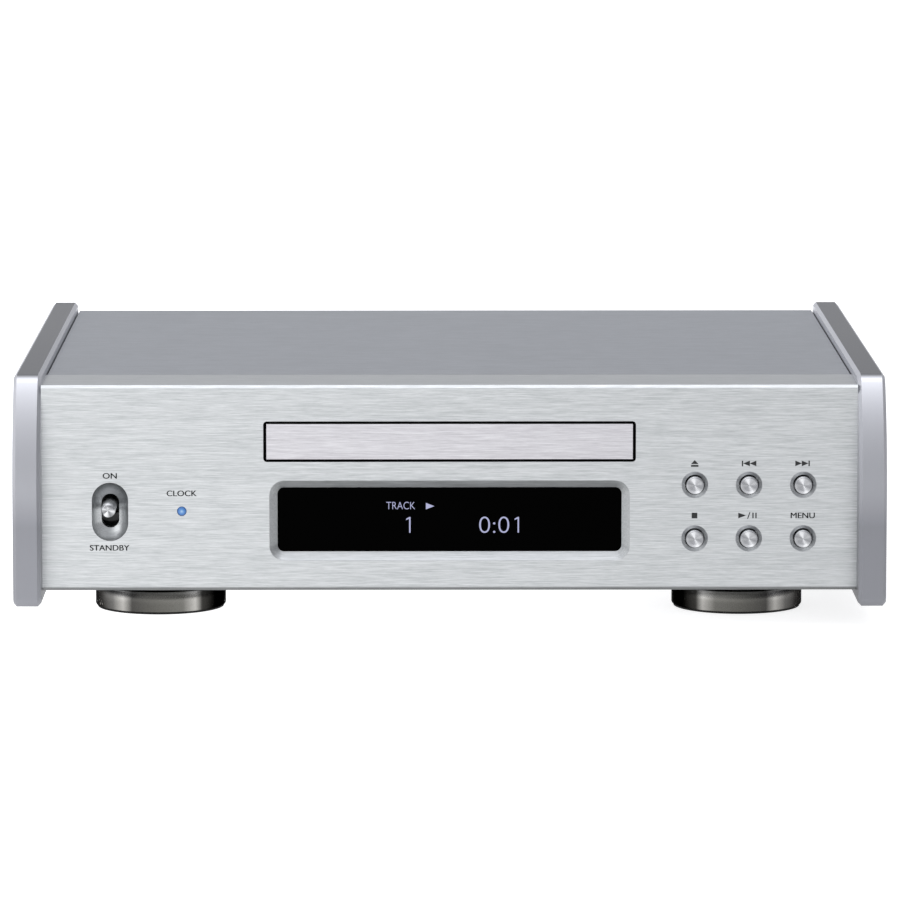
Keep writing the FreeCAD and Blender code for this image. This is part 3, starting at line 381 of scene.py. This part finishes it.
eject, previous, following = [(x, UPPER_LABEL) for x in KEY_COLUMNS]
stop, play, menu = [(x, LOWER_LABEL) for x in KEY_COLUMNS]
wide_words = [("ON", mm(-113.1, 50.9), 1.15), ("STANDBY", mm(-113.3, 26.7), 1.1),
              ("CLOCK", mm(-89.2, 45.0), 1.1), ("MENU", menu, 1.1)]
labels = [lettering(words, (x + thicken, z), 0.0019, stretch)
          for words, (x, z), stretch in wide_words for thicken in mm(-0.06, 0.0, 0.06)]
labels += [shape(eject, [(-1.25, -0.2), (1.25, -0.2), (0.0, 1.15)]),
           shape(eject, [(-1.25, -1.1), (1.25, -1.1), (1.25, -0.5), (-1.25, -0.5)]),
           shape(previous, shifted(BAR, -2.0)), shape(previous, shifted(BACKWARD, -0.66)),
           shape(previous, shifted(BACKWARD, 1.5)), shape(following, shifted(FORWARD, -1.5)),
           shape(following, shifted(FORWARD, 0.66)), shape(following, shifted(BAR, 2.0)),
           shape(stop, [(-0.95, -0.95), (0.95, -0.95), (0.95, 0.95), (-0.95, 0.95)]),
           shape(play, shifted(TRIANGLE, -2.0)),
           shape(play, [(-0.35, -1.1), (0.0, -1.1), (0.75, 1.1), (0.4, 1.1)]),
           shape(play, shifted(BAR, 1.6)), shape(play, shifted(BAR, 2.6))]
print_on("printed_labels", labels, FACE - 0.00003, charcoal_ink)


# Keys: turned aluminium caps in dished holes. The faces are spun, so light fans out from the
# middle of each one; the fan is a painted highlight laid into the metal's colour.

def spun_metal(name, colour, roughness, axis="Y", anisotropy=0.75, centre=None, painted_sheen=()):
    """Metal cut on a lathe: circular tool marks that draw the light out into a fan. The painted
    sheen lists angles about the centre, in degrees, with the painted highlight colour that the fan
    has there."""
    material, tree, shader = start_material(name, Metallic=1.0, Base_Color=linear(colour),
                                            Roughness=roughness, Anisotropic=anisotropy)
    sweep = add(tree, "ShaderNodeTangent", direction_type="RADIAL", axis=axis)
    tree.links.new(sweep.outputs["Tangent"], shader.inputs["Tangent"])
    grain = add(tree, "ShaderNodeTexNoise", {"Vector": object_pattern(tree, (2500,) * 3),
                                             "Scale": 1.0, "Detail": 2.0})
    gloss = add(tree, "ShaderNodeMapRange", {"Value": grain.outputs["Fac"],
                                             "To Min": roughness - 0.06,
                                             "To Max": roughness + 0.06})
    tree.links.new(gloss.outputs["Result"], shader.inputs["Roughness"])
    # Painted highlight: the base colour is taken from the listed angles around the centre.
    if painted_sheen:
        offset = add(tree, "ShaderNodeVectorMath", {0: object_pattern(tree, (1, 1, 1)),
                                                    1: centre}, operation="SUBTRACT")
        split = add(tree, "ShaderNodeSeparateXYZ", {"Vector": offset.outputs["Vector"]})
        up = split.outputs["Z" if axis == "Y" else "Y"]
        angle = add(tree, "ShaderNodeMath", {0: up, 1: split.outputs["X"]}, operation="ARCTAN2")
        turn = add(tree, "ShaderNodeMapRange", {"Value": angle.outputs[0], "From Min": -math.pi,
                                                "From Max": math.pi})
        painted_fan = add(tree, "ShaderNodeValToRGB", {"Fac": turn.outputs["Result"]})
        stops = sorted(((degrees + 180) % 360 / 360, tone) for degrees, tone in painted_sheen)
        while len(painted_fan.color_ramp.elements) < len(stops):
            painted_fan.color_ramp.elements.new(1.0)
        for element, (place, tone) in zip(painted_fan.color_ramp.elements, stops):
            element.position = place
            element.color = linear(tone)
        tree.links.new(painted_fan.outputs["Color"], shader.inputs["Base Color"])
    return material


def lathe(profile, centre, axis="Y", steps=64):
    """Points and faces of a turned shape; profile is (radius, distance along the axis)."""
    points, faces = [], []
    rings = []
    for radius, along in profile:
        ring = []
        turns = 1 if radius == 0 else steps
        for step in range(turns):
            turn = 2 * math.pi * step / steps
            across, up = radius * math.cos(turn), radius * math.sin(turn)
            offset = (across, along, up) if axis == "Y" else (across, up, along)
            ring.append(len(points))
            points.append(tuple(c + o for c, o in zip(centre, offset)))
        rings.append(ring)
    for one, two in zip(rings, rings[1:]):
        for step in range(steps):
            after = (step + 1) % steps
            corners = [one[step % len(one)], one[after % len(one)], two[after % len(two)],
                       two[step % len(two)]]
            faces.append(tuple(dict.fromkeys(corners)))
    return points, [face for face in faces if len(face) > 2]


def key_cap(name):
    low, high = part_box(name)
    radius = 0.00295
    centre = ((low[0] + high[0]) / 2, low[1], (low[2] + high[2]) / 2)
    flange = (high[0] - low[0]) / 2
    depth = high[1] - low[1]
    profile = [(0, 0.00022), (0.0009, 0.00016), (0.0018, 0.00006), (radius - 0.0005, 0),
               (radius - 0.00022, 0.00006), (radius - 0.00006, 0.0002), (radius, 0.0004),
               (radius, depth - 0.001), (flange, depth - 0.001), (flange, depth), (0, depth)]
    points, faces = lathe(profile, centre)
    # Painted highlight: light and dark wedges of the fan, by angle around the key's centre.
    painted_fan = [(-179, "#A3A4A6"), (-155, "#9A9B9D"), (-130, "#9C9DA0"), (-95, "#B4B5B8"),
           (-76, "#D8D9DB"), (-62, "#DEDFE1"), (-45, "#B8B9BB"), (-22, "#8E8F92"),
           (0, "#949598"), (18, "#ACADAF"), (45, "#9B9C9E"), (75, "#A6A7AA"), (98, "#CFD0D2"),
           (118, "#D2D3D5"), (138, "#9E9FA1"), (158, "#88898C"), (179, "#A3A4A6")]
    spun_aluminium = spun_metal("spun_aluminium_" + name, "#AFB0B2", 0.28, centre=centre,
                                painted_sheen=painted_fan)
    return piece_from(name.replace("button", "key"), points, faces, spun_aluminium, name, name)


for name in ("eject", "previous", "next", "stop", "play_pause", "menu"):
    key_cap("button_" + name)


# Toggle: a turned, plated lever with a flat machined tip, standing level in the ON position. The
# light and dark wedges on its tip are painted highlight.

lever_low, lever_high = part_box("toggle_lever")
lever_radius = (lever_high[2] - lever_low[2]) / 2
lever_centre = (-0.1131, lever_low[1], (lever_low[2] + lever_high[2]) / 2)
lever_length = lever_high[1] - lever_low[1]
groove = lever_radius - 0.00015
tip = [(0, 0.0001), (0.0006, 0.00004), (lever_radius - 0.0007, 0.0),
       (lever_radius - 0.0005, 0.0001), (lever_radius, 0.0007), (lever_radius, 0.0022),
       (groove, 0.0023), (groove, 0.0027), (lever_radius, 0.0028), (lever_radius, lever_length),
       (0, lever_length)]
# Painted highlight: light and dark wedges by angle around the lever's axis.
painted_tip_fan = [(-179, "#8E8F91"), (-150, "#6F7072"), (-125, "#D5D6D8"), (-100, "#C0C1C3"),
           (-70, "#6F7072"), (-40, "#8A8B8D"), (-10, "#CFD0D2"), (15, "#A0A1A3"),
           (60, "#8C8D8F"), (100, "#B5B6B8"), (140, "#9A9B9D"), (165, "#C8C9CB"),
           (179, "#8E8F91")]
plated_lever = spun_metal("plated_turned_steel", "#A9AAAD", 0.25, centre=lever_centre,
                          painted_sheen=painted_tip_fan)
points, faces = lathe(tip, lever_centre, steps=72)
lever = piece_from("toggle_pin", points, faces, plated_lever, "toggle", "toggle_lever")


# Status lamp: a small blue dome that shows its pale core.

lamp_low, lamp_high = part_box("status_lamp")
lamp_centre = ((lamp_low[0] + lamp_high[0]) / 2, lamp_low[1], (lamp_low[2] + lamp_high[2]) / 2)
dome = [(0, 0.0), (0.0006, 0.00006), (0.0011, 0.00022), (0.0014, 0.00045), (0.0015, 0.0007),
        (0.0015, 0.0095), (0, 0.0095)]
lamp_glow, tree, shader = start_material("blue_lamp_lens", Base_Color=linear("#16305A"),
                                         Roughness=0.25)
where = add(tree, "ShaderNodeTexCoord")
from_axis = add(tree, "ShaderNodeVectorMath", {0: where.outputs["Object"], 1: lamp_centre},
                operation="DISTANCE")
rings = add(tree, "ShaderNodeMapRange", {"Value": from_axis.outputs["Value"], "From Min": 0.0,
                                         "From Max": 0.0016})
glow = add(tree, "ShaderNodeValToRGB", {"Fac": rings.outputs["Result"]})
glow.color_ramp.elements[0].color = linear("#B9DDF2")
glow.color_ramp.elements[1].color = linear("#2C568C")
middle = glow.color_ramp.elements.new(0.45)
middle.color = linear("#5B95D6")
tree.links.new(glow.outputs["Color"], shader.inputs["Emission Color"])
shader.inputs["Emission Strength"].default_value = 0.75
points, faces = lathe(dome, lamp_centre, steps=40)
lamp = piece_from("lamp_lens", points, faces, lamp_glow, "base", "status_lamp")


# Tray front: a brushed bar that closes the slot, with a black gap all round it. Its shade is
# painted: a sheet of matt black plastic set just inside the slot, so the gap reads as a clean
# black line.

brushed_bezel = brushed_metal("brushed_bezel_anodised", "#AAA8AC", "#CBCACD", 0.34)
dress("tray_front", brushed_bezel)


def moulded_plastic(name, colour, roughness, grain_mm=0.6, bump=0.3):
    """Injection-moulded plastic: one colour with a fine spark-eroded grain."""
    material, tree, shader = start_material(name, Base_Color=linear(colour), Roughness=roughness,
                                            IOR=1.5)
    grain = add(tree, "ShaderNodeTexNoise", {
        "Vector": object_pattern(tree, (1000 / grain_mm,) * 3), "Scale": 1.0, "Detail": 3.0})
    gloss = add(tree, "ShaderNodeMapRange", {"Value": grain.outputs["Fac"],
                                             "To Min": roughness - 0.08,
                                             "To Max": roughness + 0.08})
    pits = add(tree, "ShaderNodeBump", {"Height": grain.outputs["Fac"], "Strength": bump,
                                        "Distance": 0.00006})
    tree.links.new(gloss.outputs["Result"], shader.inputs["Roughness"])
    tree.links.new(pits.outputs["Normal"], shader.inputs["Normal"])
    return material


def rounded_ring(centre, half_outer, half_inner, corner, level, depth):
    """A rectangular frame with round corners, standing from level back by depth along Y."""
    points = []
    for y, half, radius in ((level, half_outer, corner), (level, half_inner, corner * 0.6),
                            (level + depth, half_inner, corner * 0.6),
                            (level + depth, half_outer, corner)):
        for quarter, (sx, sz) in enumerate([(1, 1), (-1, 1), (-1, -1), (1, -1)]):
            cx, cz = centre[0] + sx * (half[0] - radius), centre[1] + sz * (half[1] - radius)
            for step in range(5):
                turn = math.radians(90 * quarter + 22.5 * step)
                points.append((cx + radius * math.cos(turn), y, cz + radius * math.sin(turn)))
    count = len(points) // 4
    faces = []
    for ring in range(4):
        for step in range(count):
            after = (step + 1) % count
            other = (ring + 1) % 4
            faces.append((ring * count + step, ring * count + after,
                          other * count + after, other * count + step))
    return points, faces


# Painted shade: a black sheet put in the slot's gap where there is only shade.
slot_shade_black = moulded_plastic("painted_slot_shade_black", "#020202", 0.85)
slot_shade_black.node_tree.nodes["Principled BSDF"].inputs["Specular IOR Level"].default_value = 0.03
slot_centre = (0.0, 0.0623)
slot_half, shade_sheet_half = mm(61.95, 6.75), mm(61.5, 6.4)
points, faces = rounded_ring(slot_centre, slot_half, shade_sheet_half, 0.0012, FACE + 0.0002, 0.006)
slot_shade_sheet = piece_from("tray_slot_liner", points, faces, slot_shade_black, "base")


# Feet: turned steel cups in a dark nickel plate, each with an eased rim and a fine groove, over a
# thin pad. The spike of the chassis stands in the cup's dished middle. Two bands of painted
# highlight run down the front of each cup between painted dark reflections, mirrored from left to
# right.

def foot_cup(name):
    low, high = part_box(name)
    centre = ((low[0] + high[0]) / 2, (low[1] + high[1]) / 2, low[2])
    radius, height = (high[0] - low[0]) / 2, high[2] - low[2]
    profile = [(0, 0), (radius - 0.0006, 0), (radius - 0.0002, 0.0002), (radius, 0.0006),
               (radius, height - 0.0006), (radius - 0.0002, height - 0.0002),
               (radius - 0.0006, height), (radius - 0.0034, height),
               (radius - 0.0036, height - 0.0003), (radius - 0.0040, height - 0.0003),
               (radius - 0.0042, height), (0.0103, height), (0.0100, height - 0.0003),
               (0.0100, height - 0.002), (0.002, 0.0024), (0, 0.0024)]
    points, faces = lathe(profile, centre, axis="Z", steps=160)
    hand = -1 if name == "foot_front_right" else 1
    # Painted highlight and painted reflection: light and dark bands by angle around the cup.
    painted_bands = [(0, "#605F5B"), (22, "#6E6D69"), (34, "#B1AFAB"), (41, "#3A3937"), (58, "#060606"),
             (80, "#101010"), (110, "#5A5A58"), (150, "#6E6D6A"), (178, "#4A4A49"),
             (-178, "#4A4A49"), (-120, "#7A7A79"), (-90, "#1A1A1A"), (-62, "#4B4A49"),
             (-45, "#6A6967"), (-33, "#ADABA7"), (-24, "#4A4947")]
    painted_sheen = [(-90 + hand * turn, tone) for turn, tone in painted_bands]
    dark_nickel = spun_metal("dark_nickel_" + name, "#5C5B59", 0.26, axis="Z", anisotropy=0.85,
                             centre=centre, painted_sheen=painted_sheen)
    shader = dark_nickel.node_tree.nodes["Principled BSDF"]
    shader.inputs["Specular Tint"].default_value = (0.15, 0.15, 0.15, 1)
    cup = piece_from(name.replace("foot", "cup"), points, faces, dark_nickel, "base", name)


for name in ("foot_front_left", "foot_front_right", "foot_rear"):
    foot_cup(name)
dress("foot_spikes", spun_metal("plain_turned_steel", "#6F7175", 0.35, axis="Z"))
dress("foot_pads", moulded_plastic("cork_rubber_pad", "#151515", 0.9, grain_mm=0.8))


# Screws: black steel socket-headed screws on the back and on the underside, each laid on its
# place by one tree that also turns every screw to its own angle.

def socket_screw_template(material):
    """A low round head with a hexagonal socket, its seat at the origin and its top towards +Z."""
    socket_radius, socket_floor, head_radius, head_top, steps = 0.00115, 0.0008, 0.0028, 0.0018, 24
    hexagon = [(socket_radius * math.cos(math.radians(60 * k)),
                socket_radius * math.sin(math.radians(60 * k))) for k in range(6)]
    rows = [(head_radius, 0.0), (head_radius, 0.0014), (0.0025, head_top)]
    points = [(r * math.cos(2 * math.pi * s / steps), r * math.sin(2 * math.pi * s / steps), z)
              for r, z in rows for s in range(steps)]
    faces = [(row * steps + s, row * steps + (s + 1) % steps, (row + 1) * steps + (s + 1) % steps,
              (row + 1) * steps + s) for row in range(2) for s in range(steps)]
    top, floor = len(points), len(points) + 6
    points += [(x, y, head_top) for x, y in hexagon]
    points += [(x, y, socket_floor) for x, y in hexagon]
    for side in range(6):
        after = (side + 1) % 6
        rim = [2 * steps + (side * 4 + k) % steps for k in range(5)]
        faces.append((*rim, top + after, top + side))
        faces.append((top + side, top + after, floor + after, floor + side))
    faces.append(tuple(range(floor, floor + 6)))
    mesh = bpy.data.meshes.new("screw_template")
    mesh.from_pydata(points, [], faces)
    mesh.materials.append(material)
    template = bpy.data.objects.new("screw_template", mesh)
    bpy.context.collection.objects.link(template)
    finish_normals(mesh)
    return template


def screw_tree(template, material):
    """Instances the template on every point, stood along Tilt and clocked at random."""
    tree = bpy.data.node_groups.new("lay_screws", "GeometryNodeTree")
    face = tree.interface
    face.new_socket("Geometry", in_out="INPUT", socket_type="NodeSocketGeometry")
    tilt = face.new_socket("Tilt", in_out="INPUT", socket_type="NodeSocketFloat")
    face.new_socket("Geometry", in_out="OUTPUT", socket_type="NodeSocketGeometry")
    start, end = tree.nodes.new("NodeGroupInput"), tree.nodes.new("NodeGroupOutput")
    source = add(tree, "GeometryNodeObjectInfo", {"Object": template})
    clock = add(tree, "FunctionNodeRandomValue", {"Seed": 7}, data_type="FLOAT")
    clock.inputs[3].default_value = math.pi / 3
    angles = add(tree, "ShaderNodeCombineXYZ", {"X": start.outputs["Tilt"]})
    stand = add(tree, "FunctionNodeEulerToRotation", {"Euler": angles.outputs["Vector"]})
    spin = add(tree, "ShaderNodeCombineXYZ", {"Z": clock.outputs[1]})
    local = add(tree, "FunctionNodeEulerToRotation", {"Euler": spin.outputs["Vector"]})
    both = add(tree, "FunctionNodeRotateRotation", {"Rotation": stand.outputs["Rotation"],
                                                    "Rotate By": local.outputs["Rotation"]},
               rotation_space="LOCAL")
    laid = add(tree, "GeometryNodeInstanceOnPoints", {"Points": start.outputs["Geometry"],
                                                      "Instance": source.outputs["Geometry"],
                                                      "Rotation": both.outputs["Rotation"]})
    real = add(tree, "GeometryNodeRealizeInstances", {"Geometry": laid.outputs["Instances"]})
    clad = add(tree, "GeometryNodeSetMaterial", {"Geometry": real.outputs["Geometry"],
                                                 "Material": material})
    tree.links.new(clad.outputs["Geometry"], end.inputs["Geometry"])
    return tree, tilt.identifier


def lay_screws(name, spots, tilt, material, *stands_for):
    """One piece of screws at the given spots; tilt turns their heads from +Z towards -Y."""
    template = socket_screw_template(material)
    tree, tilt_socket = screw_tree(template, material)
    mesh = bpy.data.meshes.new(name + "_spots")
    mesh.from_pydata(spots, [], [])
    holder = bpy.data.objects.new(name + "_spots", mesh)
    bpy.context.collection.objects.link(holder)
    modifier = holder.modifiers.new("screws", "NODES")
    modifier.node_group = tree
    modifier[tilt_socket] = tilt
    bpy.context.view_layer.update()
    depsgraph = bpy.context.evaluated_depsgraph_get()
    solid = bpy.data.meshes.new_from_object(holder.evaluated_get(depsgraph))
    bpy.data.objects.remove(holder)
    bpy.data.objects.remove(template)
    piece = bpy.data.objects.new(name, solid)
    bpy.context.collection.objects.link(piece)
    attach(piece, "base")
    if stands_for:
        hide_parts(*stands_for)
    return piece


black_steel = spun_metal("black_oxide_steel", "#1E1F21", 0.4, anisotropy=0.3)
COVER_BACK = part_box("top_cover")[1][1]
REAR_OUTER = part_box("rear_panel")[1][1]
back_spots = [(x, COVER_BACK, 0.074) for x in (-0.1, 0.0, 0.1)]
back_spots += [(x, REAR_OUTER, 0.020) for x in (-0.1, 0.0, 0.1)]
screws = lay_screws("back_screws", back_spots, -math.pi / 2, black_steel, "rear_screws")
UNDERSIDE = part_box("bottom_chassis")[0][2]
under_spots = [(x, y, UNDERSIDE) for x in (-0.125, 0.125) for y in (-0.09, 0.0, 0.1)]
under_spots += [(x, y, UNDERSIDE) for x in (-0.052, 0.052) for y in (-0.0939, 0.052)]
under = lay_screws("floor_screws", under_spots, math.pi, black_steel)


# Back: a black painted steel panel with white screen print over the sockets. The phono socket is
# gold plated, the clock socket nickel, and the inlet and optical port are black plastic.

def painted_steel(name, colour, roughness, orange_peel_mm=0.9):
    """Powder-coated sheet: one colour over the soft ripple of baked paint."""
    material, tree, shader = start_material(name, Base_Color=linear(colour), Roughness=roughness,
                                            IOR=1.5)
    ripple = add(tree, "ShaderNodeTexNoise", {
        "Vector": object_pattern(tree, (1000 / orange_peel_mm,) * 3), "Scale": 1.0, "Detail": 3.0})
    peel = add(tree, "ShaderNodeBump", {"Height": ripple.outputs["Fac"], "Strength": 0.4,
                                        "Distance": 0.00008})
    gloss = add(tree, "ShaderNodeMapRange", {"Value": ripple.outputs["Fac"],
                                             "To Min": roughness - 0.07,
                                             "To Max": roughness + 0.07})
    tree.links.new(gloss.outputs["Result"], shader.inputs["Roughness"])
    tree.links.new(peel.outputs["Normal"], shader.inputs["Normal"])
    return material


def plated_metal(name, colour, roughness):
    """Bright electroplate, with the faint unevenness of a small turned part."""
    material, tree, shader = start_material(name, Metallic=1.0, Base_Color=linear(colour),
                                            Roughness=roughness)
    uneven = add(tree, "ShaderNodeTexNoise", {"Vector": object_pattern(tree, (900,) * 3),
                                              "Scale": 1.0, "Detail": 2.0})
    gloss = add(tree, "ShaderNodeMapRange", {"Value": uneven.outputs["Fac"],
                                             "To Min": roughness - 0.05,
                                             "To Max": roughness + 0.05})
    tree.links.new(gloss.outputs["Result"], shader.inputs["Roughness"])
    return material


black_plastic = moulded_plastic("moulded_black_plastic", "#101113", 0.5)
dress("rear_panel", painted_steel("black_powder_coat", "#17181A", 0.5))
dress("coax_jack", plated_metal("gold_plate", "#D9AE5B", 0.22))
dress("clock_jack", plated_metal("nickel_plate", "#BDBEC0", 0.25))
for name in ("optical_jack", "optical_shutter", "power_inlet"):
    dress(name, black_plastic)
white_ink = screen_print("white_screen_print", "#E4E4E2")
back_labels = [lettering("COAXIAL", mm(-58, 50.5), 0.0019, 1.2),
               lettering("OPTICAL", mm(-82, 50.5), 0.0019, 1.2),
               lettering("CLOCK IN", mm(-106, 50.5), 0.0019, 1.2),
               lettering("DIGITAL OUT", mm(-70, 56.5), 0.0021, 1.2),
               shape(mm(-70, 54.2), [(-18, -0.1), (18, -0.1), (18, 0.1), (-18, 0.1)]),
               lettering("AC IN", mm(95, 56.0), 0.0021, 1.2)]
print_on("back_labels", back_labels, REAR_OUTER + 0.00003, white_ink, facing=1)


# Inside: plated steel sheet and rods, black and white mouldings, green boards and the parts on
# them. They show through the open tray slot, so each keeps the finish of its kind.

zinc_steel = plated_metal("zinc_plated_steel", "#B4B6BA", 0.38)
for name in ("bottom_chassis", "chassis_sides", "chassis_posts", "board_screws", "guide_rods",
             "side_panel_screws", "clamp_bridge", "traverse_chassis", "transformer_clamp",
             "loading_motor", "spindle_motor", "sled_motor", "sled_screw"):
    dress(name, zinc_steel)
tray_plastic = moulded_plastic("moulded_tray_plastic", "#1A1B1D", 0.55, grain_mm=0.8)
dress("disc_tray", tray_plastic)
for name in ("tray_rails", "loader_base", "cam_slide", "disc_clamper", "pickup_sled",
             "toggle_switch", "turntable", "display_module"):
    dress(name, black_plastic)
acetal = moulded_plastic("natural_acetal", "#DAD9D2", 0.4)
for name in ("tray_pinion", "pulley_gear", "motor_pulley"):
    dress(name, acetal)
rubber = moulded_plastic("moulded_rubber", "#0F0F10", 0.8, grain_mm=0.4)
dress("damper_grommets", rubber)
dress("loading_belt", rubber)
dress("heat_sink", painted_steel("black_anodised_fins", "#121314", 0.45))
dress("filter_capacitors", moulded_plastic("capacitor_sleeve", "#141C33", 0.3))
dress("transformer", moulded_plastic("yellow_winding_tape", "#C79A2E", 0.45, grain_mm=1.5))
dress("objective_lens", moulded_plastic("moulded_lens", "#39475A", 0.12))
green_board = moulded_plastic("green_solder_mask", "#0E4A2A", 0.35, grain_mm=1.2)
for name in ("main_board", "supply_board", "key_board"):
    dress(name, green_board)


# Setting: a wide white floor that glows from within with painted light, stronger to the left,
# which lifts the shadows under the player; an even studio surround that is brightest overhead
# and to the left, one softbox at the left, and the camera.

glowing_floor_paint, tree, shader = start_material("white_floor_painted_glow", Base_Color=linear("#B8B8B8"),
                                       Roughness=0.9)
shader.inputs["Emission Color"].default_value = linear("#FFFFFF")
across = add(tree, "ShaderNodeSeparateXYZ", {"Vector": object_pattern(tree, (1, 1, 1))})
# Painted light: the floor's glow is strongest at the left and falls off to the right.
glow = add(tree, "ShaderNodeMapRange", {"Value": across.outputs["X"], "From Min": -0.3,
                                        "From Max": 0.25, "To Min": 1.25, "To Max": 0.72},
           interpolation_type="SMOOTHSTEP")
tree.links.new(glow.outputs["Result"], shader.inputs["Emission Strength"])
shader.inputs["Specular IOR Level"].default_value = 0.05
grain = add(tree, "ShaderNodeTexNoise", {"Vector": object_pattern(tree, (300, 300, 300)),
                                         "Scale": 1.0})
matt = add(tree, "ShaderNodeMapRange", {"Value": grain.outputs["Fac"], "To Min": 0.86,
                                        "To Max": 0.94})
tree.links.new(matt.outputs["Result"], shader.inputs["Roughness"])
reach, drop = 40, 0.0002
corners = [(x * reach, y * reach, -drop) for x, y in ((-1, -1), (1, -1), (1, 1), (-1, 1))]
floor_mesh = bpy.data.meshes.new("floor")
floor_mesh.from_pydata(corners, [], [(0, 1, 2, 3)])
floor_mesh.materials.append(glowing_floor_paint)
floor = bpy.data.objects.new("floor", floor_mesh)
bpy.context.collection.objects.link(floor)

world = bpy.data.worlds.new("studio")
bpy.context.scene.world = world
world.use_nodes = True
sky = world.node_tree
backdrop = sky.nodes["Background"]
direction = add(sky, "ShaderNodeTexCoord")
split = add(sky, "ShaderNodeSeparateXYZ", {"Vector": direction.outputs["Generated"]})
side = add(sky, "ShaderNodeMapRange", {"Value": split.outputs["X"], "From Min": -0.7,
                                       "From Max": 0.7, "To Min": 1.15, "To Max": 0.35})
behind = add(sky, "ShaderNodeMapRange", {"Value": split.outputs["Y"], "From Min": -0.2,
                                         "From Max": 0.8, "To Min": 1.0, "To Max": 0.75})
level = add(sky, "ShaderNodeMath", {0: side.outputs["Result"], 1: behind.outputs["Result"]},
            operation="MULTIPLY")
height = add(sky, "ShaderNodeMapRange", {"Value": split.outputs["Z"], "From Min": 0.1,
                                         "From Max": 0.7})
zenith = add(sky, "ShaderNodeMapRange", {"Value": split.outputs["Z"], "From Min": 0.75,
                                         "From Max": 0.98, "To Min": 0.9, "To Max": 2.4})
light = add(sky, "ShaderNodeMix", {0: height.outputs["Result"], 2: level.outputs[0],
                                   3: zenith.outputs["Result"]}, data_type="FLOAT")
backdrop.inputs["Color"].default_value = linear("#FAFBFF")
sky.links.new(light.outputs[0], backdrop.inputs["Strength"])
softbox = bpy.data.lights.new("left_softbox", "AREA")
softbox.shape = "RECTANGLE"
softbox.size, softbox.size_y = 1.1, 1.1
softbox.energy = 6
holder = bpy.data.objects.new("left_softbox", softbox)
holder.location = (-1.3, -1.1, 0.9)
softbox_aim = Vector((-0.05, -0.1, 0.04)) - holder.location
holder.rotation_euler = softbox_aim.to_track_quat("-Z", "Y").to_euler()
bpy.context.collection.objects.link(holder)

bpy.context.scene.view_settings.view_transform = "Standard"
camera_data = bpy.data.cameras.new("camera")
camera_data.sensor_width = 36
camera_data.lens = 242.25
camera = bpy.data.objects.new("camera", camera_data)
camera.location = (-0.01267, -2.1116, 0.32158)
look_down, look_aside = 7.474, 0.367
camera.rotation_euler = (math.radians(90 - look_down), 0, math.radians(-look_aside))
bpy.context.collection.objects.link(camera)
bpy.context.scene.camera = camera
